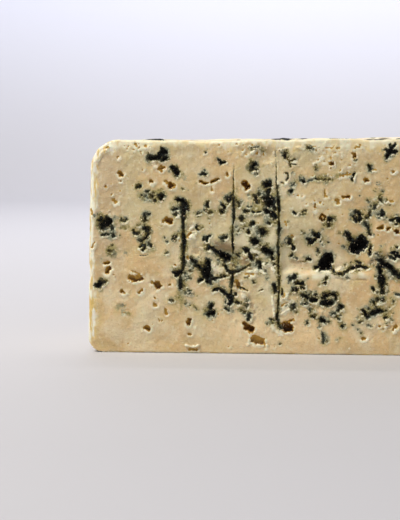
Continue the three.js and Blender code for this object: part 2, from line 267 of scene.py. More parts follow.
    (0.6, 1.2, 101.4, 26.6, 102, 26), (0.6, 1, 99.3, 27.4), (0.75, 1.4, 91.6, 21.6, 92.1, 20.4),
    (0.6, 1, 96.2, 22.2, 97.4, 22.4), (0.4, 0.7, 92.6, 19.2, 93.2, 18.2),
    (0.7, 1.2, 99.8, 17.2, 101.2, 16.8), (0.5, 0.6, 98.6, 20.2, 99.4, 18.8),
    (1.5, 3, 105.2, 22.8, 108.2, 22.8), (1, 2.4, 104.8, 25.4, 105.9, 26.9),
    (1, 2.2, 107.6, 27, 110.2, 26.4), (0.7, 1.6, 110.4, 25.8, 110.6, 24.8),
    (0.9, 2, 112.3, 21.6, 113, 20.6), (0.6, 1.4, 112, 20, 111.4, 19), (0.5, 1.2, 108.9, 18.1, 110, 18),
    (0.5, 1, 110.6, 16.6, 112.2, 15.6), (1, 2.4, 104.3, 15.1, 105.7, 14.7),
    (0.7, 1.2, 113.2, 13, 113.8, 12.5), (0.4, 0.6, 118, 13.2), (0.5, 1, 97.9, 14.4, 98.1, 13.6),
    (0.55, 1.2, 106.6, 34.4, 105.6, 31.8), (0.5, 0.8, 106.4, 5.8), (0.8, 1.4, 126.8, 29.6, 127.2, 29),
    (0.7, 1.2, 131, 24.8, 131.2, 23.8), (0.8, 1.4, 126.8, 23.6, 127.6, 22.6),
    (0.6, 0.8, 127.8, 21.4, 128.5, 20.6), (0.8, 1.2, 128.4, 24.8, 129.2, 24.2),
    (1.2, 2.4, 127, 18.8, 129.8, 19.4), (0.9, 1.8, 123.4, 19, 124.8, 16.8),
    (0.6, 1, 122, 19.9, 122.8, 19.8), (0.6, 1, 125, 20.4), (0.75, 1.4, 132.4, 16.8, 133, 16.6),
    (0.5, 0.8, 131.6, 19.4, 132.6, 19.6), (0.5, 0.8, 120.6, 14.4, 121.8, 14.6),
    (0.45, 0.7, 124.8, 12.8, 125.8, 12.4), (0.5, 0.7, 135.2, 15.4), (0.6, 0.5, 137, 27.2, 138.2, 26.8),
    # Fissures between the curds
    (0.7, 1.8, 46, 42.8, 47.6, 41), (1, 2.2, 48.4, 39.6, 50.6, 38), (0.8, 1.6, 54.4, 33.2, 57.4, 33.5),
    (0.5, 1.4, 57.4, 33.5, 59.8, 34.2, 62.4, 34.8), (0.9, 1.4, 53.4, 47.6, 55.6, 47.2, 57.2, 46.2),
    (1.2, 2.2, 57.6, 45.8, 59.6, 44.6), (0.7, 1.4, 60.8, 39.6, 62.2, 37.4, 64.4, 36),
    (0.6, 1.4, 64.4, 36, 67, 37.2), (0.45, 1.2, 67, 37.2, 69.6, 38.8, 72.6, 40),
    (0.8, 1.4, 97.8, 42.6, 98.8, 42.2), (0.65, 1.4, 109.2, 37.8, 110.6, 36.2, 112.6, 35.8),
    (0.6, 1.2, 113.8, 36.3, 116, 37.6), (0.7, 1.4, 117, 38.2, 118.8, 38.8),
    (0.75, 1.4, 119.6, 39.4, 121.4, 39.5), (0.6, 1.2, 121.4, 39.4, 124.4, 38.8),
    (0.5, 1, 119.6, 41.8, 121.2, 41.1), (0.4, 0.8, 129, 44.6, 129.8, 43.6),
    (1.3, 2.8, 130.2, 42, 132.8, 40), (1.3, 2.6, 133, 39.8, 136, 37.2),
    (1.1, 2.2, 136.4, 36.9, 138.6, 34.8), (0.9, 2, 138.6, 34.8, 142, 33, 147, 34.4),
    (1, 2.4, 129.9, 39.6, 130.1, 36.6), (1.6, 2.8, 130.8, 34.2, 131.2, 31.4),
    (0.9, 2.2, 131.1, 30.4, 130.9, 27.8), (0.7, 1.6, 95.4, 77.6, 96.2, 77),
    (0.3, 0.5, 97.6, 77.2, 100, 78.2), (0.55, 0.8, 101.2, 78.7, 102.6, 78.4),
    (0.4, 0.7, 103.6, 78.2, 105.6, 77.8), (0.35, 0.6, 106.8, 77.9, 108.6, 78.3),
    (1.1, 2, 136, 45.8, 137.6, 44.6), (0.7, 1, 137.4, 48.3), (1, 1.6, 138, 44.4, 139.6, 43.2),
    (0.8, 1, 134.6, 43.8, 136, 43.2),
    # Right end
    (1.7, 2.4, 143.6, 55.8, 143.6, 56.2), (2.2, 3, 149.6, 66.1, 149.6, 66.7),
    (1.6, 2.6, 145.5, 27.4, 146.5, 27.4), (2.7, 4, 157.9, 45.8, 158.9, 45.8),
    (1.8, 2.4, 164.6, 71.4, 164.6, 71.8), (1.8, 2.8, 166.5, 33.6, 167.5, 33.6),
    (1.6, 2.2, 171.6, 52, 171.6, 52.4), (2.6, 3.2, 180.8, 44.4, 180.8, 44.8),
    (1.5, 2, 183.5, 66, 183.7, 66), (1.6, 2.4, 156.6, 84.6, 157.4, 84.6),
    (1.7, 2.4, 160.2, 17.6, 160.6, 17.6),
)

VEINS: tuple[Row, ...] = (
    # Needle channels
    (0.95, 1.6, 42.4, 66, 42, 60, 42.1, 55), (0.85, 1.6, 42.1, 55, 42.5, 50, 42.4, 45),
    (0.85, 1.5, 42.3, 45, 42.4, 40, 41.4, 36), (0.85, 1, 41.4, 36, 40.9, 33), (1, 1.4, 40.9, 33, 41, 30),
    (0.43, 1.4, 64.8, 70, 65, 64, 64.9, 60), (0.4, 1.2, 64.9, 60, 64.2, 55),
    (0.55, 1.5, 64.2, 55, 64.3, 50, 64.4, 45), (0.5, 1.5, 64.6, 37, 64.2, 33, 63.7, 26),
    (0.45, 1.2, 84.2, 75, 84.6, 70), (0.5, 1.5, 84.9, 70, 85.1, 62, 85, 55),
    (0.42, 1.4, 85, 55, 84.7, 50, 85, 44, 84.9, 38), (0.36, 1.2, 84.9, 38, 85.2, 32, 85, 25, 84.6, 19),
    (0.5, 1.5, 84.6, 19, 84.1, 15.5, 85.5, 11.5), (0.6, 1.2, 84.8, 12.6, 85.6, 11),
    (0.45, 0.9, 104.6, 9.6, 105.2, 7.4, 104.9, 4.8),
    (0.65, 1.5, 153.2, 71, 152.8, 62, 153.2, 52, 152.7, 42, 153.1, 33, 153, 24),
    (0.65, 1.4, 175, 60, 175.3, 51, 174.7, 41, 175, 30),
)

EYES: tuple[Row, ...] = (
    (0.9, 1.6, 13, 81.2, 14.2, 80.2), (0.55, 1, 7.4, 75), (0.35, 0.6, 10, 71.4), (0.45, 0.8, 7.8, 62.8),
    (0.7, 1.4, 27.3, 77.4, 28.3, 76.8), (0.75, 1.4, 31.4, 83, 33.4, 83.4), (0.6, 1, 32.2, 84.2, 32.4, 82.2),
    (1.25, 2.2, 36.5, 76, 37, 75.2), (0.5, 1.9, 49.8, 77.4, 51.6, 76.6, 53.4, 76.8),
    (0.6, 2, 54.8, 77.2, 56.4, 77.7, 57.8, 78.5), (0.6, 1.2, 62.2, 81.2, 62.2, 80.2),
    (1.4, 3, 69.5, 76.6, 70.1, 75.7, 70.7, 75.1), (1.05, 2.3, 108.4, 85.9, 108.5, 85.2),
    (0.85, 1.6, 118.1, 89.6, 118.3, 88.2), (0.95, 1.6, 123.3, 78, 124.1, 78),
    (0.75, 2.1, 113.9, 70.5, 115.2, 70.4, 116.4, 70.6),
    (0.5, 2.2, 105.4, 62, 104.4, 62.7, 103.3, 62, 103.4, 60.9, 104.3, 60.4, 105.3, 60.9, 105.4, 62),
    (0.35, 0.7, 105.6, 73.6, 105.4, 70.4), (0.45, 0.8, 106.4, 70.6), (0.35, 1.6, 101.1, 67.4, 101, 65.9),
    (0.45, 0.7, 90.4, 66.2), (1.45, 2.2, 35, 60.2, 35.9, 59.4), (0.75, 1.4, 6.9, 40.3, 8.2, 40.6),
    (1.1, 1.8, 8.6, 38.2, 7.6, 36), (1.25, 1.5, 18.1, 34.2, 20.6, 33, 22.6, 33.8),
    (1.25, 2, 30.2, 31, 31.2, 29.8), (0.75, 1.4, 14.3, 27.5, 15.5, 26.9), (0.5, 0.9, 29.5, 24.9),
    (0.85, 1.6, 24.9, 11.2, 26.6, 10.6), (0.5, 0.7, 15.5, 18), (1.05, 1.8, 44.7, 14.9, 44.3, 13.6),
    (0.55, 1, 44.6, 8.4, 45.4, 8.3), (0.5, 1, 44.2, 43.8, 44.1, 42.8), (0.55, 0.8, 38.5, 40),
    (0.6, 1, 45.4, 54.2, 44.2, 52.6), (1.6, 3.2, 71.4, 11.5, 72.6, 10.6), (0.85, 2, 69.3, 13.9, 70.8, 12.7),
    (0.65, 1.8, 67.2, 29.8, 68.6, 29.4), (1.15, 1.7, 66.6, 32.2, 66.9, 30.4),
    (1.9, 0.9, 73.8, 6.5, 76.8, 5.5), (2, 3.8, 87.4, 12, 89.5, 11.5),
    (0.5, 1, 87.2, 14, 89.4, 14.4, 91, 15.2), (1.1, 1.6, 129.8, 57.1, 130.5, 57.3),
    (0.7, 1.7, 133.2, 56.6, 134, 56.7), (0.4, 0.9, 135.6, 56.4), (0.85, 2.3, 136.8, 55.7, 137.8, 55.1),
    (0.7, 0.9, 90.9, 52.8), (0.4, 0.7, 131.4, 11.6), (0.4, 0.6, 129.6, 12.8), (0.4, 0.6, 133, 13.2),
    (0.4, 0.6, 102.4, 7.4), (0.4, 0.6, 91.5, 15.7), (1.3, 1.8, 148, 80.8, 148, 81.2),
    (1.5, 2.2, 151.4, 12, 152.6, 12), (1.2, 1.6, 163, 60.6), (1.2, 1.6, 169.4, 82.9, 169.4, 83.1),
    (1.5, 2, 174.3, 20.6, 174.9, 20.6), (1.4, 1.8, 186.2, 28.7, 186.2, 29.3),
)

OCHRES: tuple[Row, ...] = (
    (0.55, 1, 14, 77.7), (0.8, 0.6, 10.6, 69, 11.6, 67.8), (0.6, 0.5, 12.8, 88.2), (0.5, 0.5, 24, 82.5),
    (0.6, 0.8, 34, 77.4, 35.2, 76.4), (0.45, 0.7, 55, 75, 55.2, 73.4), (0.7, 1.2, 135.6, 82.4, 136.1, 82.2),
    (0.75, 1, 110.3, 69.3, 111.4, 69, 111, 68.1), (0.4, 0.4, 126.4, 82.6, 128, 82.8),
    (0.9, 1, 33.2, 59.6, 34.2, 59.6), (0.8, 1, 36, 31), (0.5, 0.7, 28.1, 32.8, 28, 31.4),
    (0.7, 1.2, 22.5, 27.2, 23.5, 28.2), (0.65, 0.8, 29, 22.4, 29.8, 21.2),
    (0.65, 1, 34.3, 19.8, 34.5, 17.6), (0.3, 0.4, 30.9, 15.6, 31.2, 14.2, 32.4, 14.6),
    (0.4, 0.5, 78.2, 5, 79, 2.6), (0.8, 1.4, 122.1, 7.4, 123.1, 7.2), (0.75, 1.2, 136, 11.4, 137.2, 13),
    (0.5, 0.4, 87.8, 59.2, 88.2, 57.8), (0.6, 0.4, 86.6, 26, 87.6, 27.2), (0.4, 0.5, 86.2, 21.8, 88, 22.8),
    (0.5, 0.3, 70.3, 36, 73.4, 35.7), (0.8, 0.5, 25.4, 93.4), (0.7, 0.5, 20.6, 94, 21, 93.6),
    (0.5, 0.4, 21.8, 92), (0.45, 0.4, 23.2, 90.6), (0.6, 0.4, 7.6, 92.2, 8.4, 92.8), (0.3, 0.3, 107.6, 93),
    (0.35, 0.3, 109.4, 93.4), (0.35, 0.3, 118.8, 93.2), (0.3, 0.3, 121, 93.5), (0.4, 0.4, 58, 93.7),
    (0.4, 0.4, 66, 94), (0.35, 0.4, 94.4, 93.6), (0.35, 0.4, 105, 94.2), (0.4, 0.4, 121, 93.8),
    (0.5, 0.7, 44.6, 1.6, 48.4, 1.4), (0.5, 0.5, 2.1, 49.7, 0.7, 47.6),
    (0.5, 0.15, 112.2, 79.7, 114.8, 80.4, 117, 80.8), (0.5, 0.4, 127.7, 70.5),
    (0.45, 0.3, 133, 69.4, 135.4, 68.7), (0.4, 0.4, 18.7, 36.7, 20.4, 36.5, 22.4, 35.5),
    (0.4, 0.2, 75.7, 91.3, 75.1, 89.6), (0.35, 0.15, 78.3, 90.2, 77.9, 89.3),
    (0.4, 0.15, 106.2, 92.6, 107.6, 92.3, 108.8, 92.6), (0.35, 0.15, 110.6, 92.2, 112, 92.6),
    (0.4, 0.15, 118.2, 92.2, 119.4, 93, 121, 92.8), (0.3, 0.15, 99.8, 93, 101.4, 93.2),
    (0.4, 0.15, 108.3, 88.9, 108, 87.5), (0.55, 0.2, 0.6, 64.4, 0.6, 62.6),
)

CRACKS: tuple[Row, ...] = (
    (0.22, 0.6, 22.4, 43.8, 24.4, 43.6, 26.4, 44.2), (0.7, 1.8, 67.4, 29.7, 69.2, 29.1),
    (0.4, 0.9, 69, 29.2, 71, 28.3), (0.35, 0.7, 76, 28, 77.8, 28.8),
    (0.5, 1.1, 88.4, 88.6, 89.6, 86.4, 90.2, 84), (0.5, 1, 90, 86.4, 92.2, 87.2),
    (0.35, 0.6, 89.8, 85.4, 92.8, 84.8), (0.55, 1.2, 87.6, 81, 89, 80.8, 89.2, 79, 88.2, 77.8),
    (0.45, 1, 85.8, 77, 87.2, 76.6), (0.35, 0.7, 94.4, 41.4, 96.4, 41.3, 98.6, 42.6),
    (0.25, 0.4, 117.4, 41.2, 119.6, 40.8), (0.3, 0.5, 64.9, 84, 64.8, 79), (0.42, 0.9, 64.8, 79, 64.7, 71),
    (0.25, 0.4, 83.6, 91, 83.8, 84, 83.8, 80), (0.4, 0.8, 83.8, 80, 83.9, 75),
)

STAINS: tuple[Row, ...] = (
    (1.5, 1, 64.6, 42.6, 66.6, 42), (1.4, 0.7, 42, 80, 43, 78), (1.2, 1, 71.4, 83.8, 72, 82.4),
    (2.2, 0.6, 41.2, 27, 41.4, 19.5), (1.6, 0.55, 125.8, 69.6, 129.4, 70.4), (0.9, 0.8, 48, 76.5),
    (0.9, 0.8, 66.5, 73.3), (1.8, 0.6, 23, 70.6, 29.6, 70), (1.7, 0.6, 24.8, 58, 25.4, 48.6),
    (1, 1, 11.6, 60.8), (1, 0.8, 14, 56.4, 17.5, 56.7), (1.5, 1.3, 8.8, 45, 10.2, 44.8),
    (1.3, 0.9, 16, 44.8), (1.4, 0.6, 11, 48, 12.5, 46), (0.8, 0.5, 12, 48),
    (1.5, 0.9, 13.2, 20.3, 14.8, 21), (1.3, 0.9, 15.6, 18, 17.8, 17.4), (0.7, 0.7, 81, 14, 83, 14),
    (1.4, 0.5, 77, 20), (1.4, 0.5, 130, 48, 132.5, 49.5), (1, 0.5, 47.2, 25.1), (1.5, 0.5, 75, 67, 77, 64),
    (2.2, 0.4, 78, 62, 84, 58), (2, 0.4, 120, 56, 122, 44), (2.4, 0.35, 101, 76, 96, 79),
    (1.3, 0.55, 95, 77.6, 101, 78, 105, 78.4), (1, 0.9, 110, 79.6, 113, 80.3, 117, 80.4),
    (2.2, 0.45, 124, 82.6, 129, 82), (1.8, 0.4, 56, 48, 62, 46),
)

FLAKES: tuple[Row, ...] = (
    (0.55, 0.6, 82.3, 25.5, 82.8, 20.5, 83.2, 17), (0.8, 0.3, 81.6, 12.4, 83.6, 10, 86.4, 8.4),
    (0.5, 0.3, 72, 6.6, 71, 3.2), (0.5, 0.3, 79, 6, 79.8, 3.2),
    (0.8, 0.5, 2.9, 85.6, 4.2, 87.9, 6.4, 90.3, 9, 92.4), (0.35, 0.5, 86, 24.4, 86.4, 22.6),
    (0.45, 0.6, 88.6, 25.8, 89.6, 27.4), (2.2, 0.3, 88, 19.5, 90, 22.5), (0.5, 0.6, 47.2, 58.2, 48, 57.6),
    (0.35, 0.5, 20.6, 35.4, 23.4, 35.1), (0.45, 0.7, 43.4, 3, 46.5, 2.7, 49.4, 3),
    (2.2, 0.2, 56.4, 38.4, 58.6, 37.2), (1.2, 0.25, 69, 26.6, 69.2, 25.4), (0.9, 0.5, 88, 76, 89.2, 76.6),
    (0.35, 0.4, 119.2, 79.4, 118.6, 77.6), (0.9, 0.5, 45.2, 56.4, 46.6, 57),
    (0.7, 0.5, 47.6, 53.2, 45.2, 52.2), (1.2, 0.4, 78.4, 40.4, 80.6, 40), (1, 0.4, 70.8, 36.8, 75, 37.2),
    (0.8, 0.3, 73.6, 46.2, 76, 45.4), (0.7, 0.5, 77.4, 37, 78.6, 36.2), (0.8, 0.5, 82.4, 38.6, 83.2, 37),
    (0.4, 0.3, 82.7, 90.4, 82.5, 88), (0.35, 0.35, 81.4, 85.4, 82.2, 83.2),
    (0.4, 0.4, 93.2, 25.4, 93.8, 24, 94.8, 23), (0.5, 0.7, 86.2, 17.8, 90, 20),
    (0.5, 0.7, 87.4, 24.6, 90, 23.6), (1.2, 0.2, 111.4, 38.6, 114.4, 38.2), (0.35, 0.4, 112.5, 1.8),
    (0.35, 0.4, 116.5, 2.5), (0.4, 0.4, 80.4, 75.9, 81.2, 75.4), (0.6, 0.5, 72, 92.2, 75.6, 92.7),
    (0.7, 0.6, 73, 89.8, 74.6, 91.2), (0.5, 0.5, 75.6, 90.4, 76.4, 89),
    (0.35, 0.4, 71.2, 82, 73.6, 81, 75.8, 82), (0.4, 0.5, 89.6, 86, 91, 87.4),
    (0.4, 0.5, 91.6, 85.4, 93, 86), (0.5, 0.4, 85.2, 91.4, 88, 92), (0.5, 0.4, 93, 92.4, 96, 91.8),
    # The flakes at 103.8, 61.8 and at 96.5, 63.5, in the middle of ring marks, are painted glints on small
    # raised bumps.
    (0.5, 0.4, 99.6, 92, 103, 92.6), (0.4, 0.6, 103.8, 61.8), (0.4, 0.7, 96.5, 63.5), (0.7, 0.8, 107, 25.2),
    (0.4, 0.4, 33.4, 87.4, 34.2, 87),
)

# Wide hollows, sunk a little and coloured with painted shade; a row's depth sets both.
HOLLOWS: tuple[Row, ...] = (
    (2.6, 1, 58, 48, 61.6, 46.8), (2.8, 1, 66.4, 41.4, 70.4, 41), (1.5, 0.3, 47.4, 50.2, 46.4, 53),
    (1.4, 0.6, 67.2, 28.4, 68.6, 31), (1.6, 0.6, 91, 40.8, 97, 40.6), (1.5, 0.3, 56.6, 89.6, 57.4, 86.8),
    (1.8, 0.7, 126, 41, 133, 43.6), (0.5, 0.45, 110, 34.1, 114, 33.7, 119, 33.5, 125, 33.5),
    (1, 0.45, 73.2, 13.4, 74.2, 15.6), (2, 0.8, 160, 40, 165, 42),
)

MARKS = {
    Kind.POCKET: POCKETS,
    Kind.VEIN: VEINS,
    Kind.EYE: EYES,
    Kind.OCHRE: OCHRES,
    Kind.CRACK: CRACKS,
    Kind.STAIN: STAINS,
    Kind.FLAKE: FLAKES,
    Kind.HOLLOW: HOLLOWS,
}


@dataclass(frozen=True)
class Habit:
    """How marks of one kind sit among the curds, and the torn lip that they have.

    Attributes:
        blunt: How much a mark takes on the corners of the curds.
        stray: How far its edge strays from curd to curd.
        raised: How far its lip stands proud.
        pale_and_highlight: How pale the lip is painted, partly its own colour and partly a painted
            highlight.
        crumbs: How many crumbs lie on it.
        fade: How quickly it goes as the marks get smaller.
        lip_at: How far outside the mark it lies.
        lip_wide: Its half width.
    """

    blunt: float
    stray: float
    raised: float = 0.0
    pale_and_highlight: float = 0.0
    crumbs: float = 0.0
    fade: int = 1
    lip_at: float = 0.33
    lip_wide: float = 0.43


HABITS: dict[Kind, Habit] = {
    Kind.POCKET: Habit(0.3, 0.9, 0.32, 1.2, 0.5, fade=2),
    Kind.VEIN: Habit(0.2, 0.6, 0.15, 0.6),
    Kind.EYE: Habit(0.4, 0.4, 0.34, 1.15, 1.0, lip_at=0.58, lip_wide=0.7),
    Kind.OCHRE: Habit(0.45, 0.5, 0.34, 1.15, 1.0, lip_at=0.58, lip_wide=0.7),
    Kind.CRACK: Habit(0.2, 0.3, 0.34, 1.15, 1.0),
    Kind.STAIN: Habit(0.4, 1.0),
    Kind.FLAKE: Habit(0.5, 0.6),
    Kind.HOLLOW: Habit(0.2, 0.6),
}


@dataclass(frozen=True)
class Mark:
    """One mark on the cut face, drawn as a stroke of one width.

    Attributes:
        kind: What it is.
        half: Half its width.
        deep: Its depth, a stain's strength or a flake's height.
        places: Its points as (across, up).
    """

    kind: Kind
    half: float
    deep: float
    places: tuple[Pair, ...]

    @property
    def black(self) -> bool:
        """Whether it is a black hole with a crisp edge."""
        return self.deep > BLACK_FROM

    def measure(self, across: Array, up: Array) -> tuple[Array, Array]:
        """Measures how far points lie from the stroke.

        Args:
            across: The points' places along the face.
            up: Their heights.

        Returns:
            The gap to the stroke's edge, below zero inside, and how far below the stroke, and a little to
            its right, each point lies, from -1 above it to 1 under it.
        """
        nearest = np.full(across.shape, np.inf)
        under = np.zeros(across.shape)
        for (a0, u0), (a1, u1) in zip(self.places, self.places[1:] or self.places):
            run, rise = a1 - a0, u1 - u0
            length = max(run * run + rise * rise, 1e-9)
            share = np.clip(((across - a0) * run + (up - u0) * rise) / length, 0, 1)
            right = across - a0 - share * run
            fall = u0 + share * rise - up
            away = np.hypot(right, fall)
            closer = away < nearest
            nearest = np.where(closer, away, nearest)
            under = np.where(closer, (0.4 * right + 0.92 * fall) / np.maximum(away, self.half), under)
        return nearest - self.half, under


@dataclass(frozen=True)
class Scatter:
    """Small marks of one kind that a seeded draw strews.

    Attributes:
        kind: What they are.
        half: Their smallest and largest half width.
        deep: Their smallest and largest depth.
        count: How many there are, where their places don't say it.
        up: The heights between which they lie.
        across: How far along the face they lie.
    """

    kind: Kind
    half: Pair
    deep: Pair
    count: int = 0
    up: Pair = (3.0, 92.0)
    across: Pair = (4.0, 191.0)

    def anywhere(self, dice: np.random.Generator) -> Pair:
        """Draws a place as (across, up)."""
        return dice.uniform(*self.across), dice.uniform(*self.up)

    def mark(self, dice: np.random.Generator, *places: Pair) -> Mark:
        """Draws one mark with the given places."""
        return Mark(self.kind, dice.uniform(*self.half), dice.uniform(*self.deep), places)


@dataclass(frozen=True)
class WheelForm:
    """The whole wheel before it was cut: a rounded drum, slumped and uneven as it settled.

    Attributes:
        radius: Half its width.
        height: Its height.
        shoulder_round: Round between side and top.
        foot_round: Round between side and base.
        slump: How much the foot is wider, and the shoulder narrower, than the middle.
        top_rise: How much higher the top is at the right end.
        top_wave: Height of the top's unevenness.
        top_swells: Length of the top's long swells, along and across the face.
        top_ripples: Length of its short ripples.
        side_wave: Height of the side's unevenness.
        side_waves: How many waves go round the side.
        side_lean: How quickly those waves turn with height.
        cut_y: Where the knife passed, a little in front of the axis.
    """

    radius: float = 97.5
    height: float = 95.0
    shoulder_round: float = 13.0
    foot_round: float = 7.0
    slump: float = 0.7
    top_rise: float = 1.3
    top_wave: float = 0.3
    top_swells: Pair = (13.0, 21.0)
    top_ripples: Pair = (5.5, 9.0)
    side_wave: float = 0.35
    side_waves: tuple[int, ...] = (2, 5, 11)
    side_lean: float = 30.0
    cut_y: float = -0.5

    def side_radius(self, z: Array | float) -> Array | float:
        """Gives the side's radius at a height."""
        return self.radius + self.slump * np.cos(np.pi * np.asarray(z) / self.height)

    @property
    def foot_centre(self) -> float:
        """Radius at which the flat base ends."""
        return float(self.side_radius(self.foot_round)) - self.foot_round

    @property
    def shoulder_z(self) -> float:
        """Height at which the shoulder's round starts."""
        return self.height - self.shoulder_round

    @property
    def top_flat(self) -> float:
        """Radius at which the flat top ends."""
        return float(self.side_radius(self.shoulder_z)) - self.shoulder_round

    @property
    def side_length(self) -> float:
        """Length of the half section from the base's edge to the top's."""
        return math.pi / 2 * (self.foot_round + self.shoulder_round) + self.shoulder_z - self.foot_round

    def side_at(self, along: Array) -> tuple[Array, Array, Array, Array]:
        """Walks the half section from the base's edge, up the side, to the top's edge.

        Args:
            along: How far to walk.

        Returns:
            The radius and height reached, and the radial and upward parts of the outward normal.
        """
        foot_end = math.pi / 2 * self.foot_round
        shoulder_start = foot_end + self.shoulder_z - self.foot_round
        foot = np.minimum(along / self.foot_round, math.pi / 2) - math.pi / 2
        shoulder = np.clip((along - shoulder_start) / self.shoulder_round, 0, math.pi / 2)
        z = np.clip(along - foot_end, 0, self.shoulder_z - self.foot_round) + self.foot_round
        on_foot, on_shoulder = along < foot_end, along > shoulder_start
        tilt = np.where(on_foot, foot, shoulder)
        radius = np.select(
            [on_foot, on_shoulder],
            [
                self.foot_centre + self.foot_round * np.cos(foot),
                self.top_flat + self.shoulder_round * np.cos(shoulder),
            ],
            self.side_radius(z),
        )
        height = np.select(
            [on_foot, on_shoulder],
            [
                self.foot_round * (1 + np.sin(foot)),
                self.shoulder_z + self.shoulder_round * np.sin(shoulder),
            ],
            z,
        )
        return radius, height, np.cos(tilt), np.sin(tilt)

    def edge(self, x: Array, z: Array) -> tuple[Array, Array, Array]:
        """Measures points of the cut face from its outline.

        Args:
            x: Their places along the face, from the axis.
            z: Their heights.

        Returns:
            The distance to the outline, and the direction straight inwards from it, along x and z.
        """
        wide = np.abs(x)
        gaps = np.stack((z, self.height - z, self.side_radius(z) - wide))
        nearest = np.argmin(gaps, axis=0)
        gap = np.min(gaps, axis=0)
        in_x = np.where(nearest == 2, -1.0, 0.0)
        in_z = np.choose(nearest, (1.0, -1.0, 0.0))
        for centre, level, size, side in (
            (self.foot_centre, self.foot_round, self.foot_round, -1),
            (self.top_flat, self.shoulder_z, self.shoulder_round, 1),
        ):
            out_x, out_z = wide - centre, z - level
            away = np.maximum(np.hypot(out_x, out_z), 1e-6)
            corner = (out_x > 0) & (out_z * side > 0)
            gap = np.where(corner, size - away, gap)
            in_x = np.where(corner, -out_x / away, in_x)
            in_z = np.where(corner, -out_z / away, in_z)
        return np.maximum(gap, 0), in_x * np.sign(x), in_z

    def settle(self, points: Array) -> Array:
        """Moves points of the true drum to where the settled cheese has them, the base staying flat.

        Args:
            points: One row for each point, y being at or behind the axis.

        Returns:
            The moved points, with the cut at cut_y.
        """
        x, y, z = points.T
        turn = np.arctan2(y, x)
        waves = sum(
            np.sin(count * turn + i * z / self.side_lean) / (i + 1)
            for i, count in enumerate(self.side_waves)
        )
        spread = 1 + self.side_wave * waves * np.hypot(x, y) / self.radius**2
        rise = self.top_rise * (x / self.radius + 1) / 2
        swells = np.cos(x / self.top_swells[0]) * np.cos(y / self.top_swells[1])
        ripples = np.sin(x / self.top_ripples[0] + y / self.top_ripples[1]) / 2
        lift = (rise + self.top_wave * (swells + ripples)) * (z / self.height) ** 2
        deep = y * spread
        return np.column_stack((x * spread, deep * (1 - self.cut_y / self.radius) + self.cut_y, z + lift))


@dataclass
class FaceMarks:
    """What the cut face carries at each of its points, each array one value a point."""

    depth: Array
    mould: Array
    brown: Array
    stain: Array
    tinge: Array
    pale_and_highlight: Array
    hollow_shade: Array
    crumbs: Array
    gap: Array


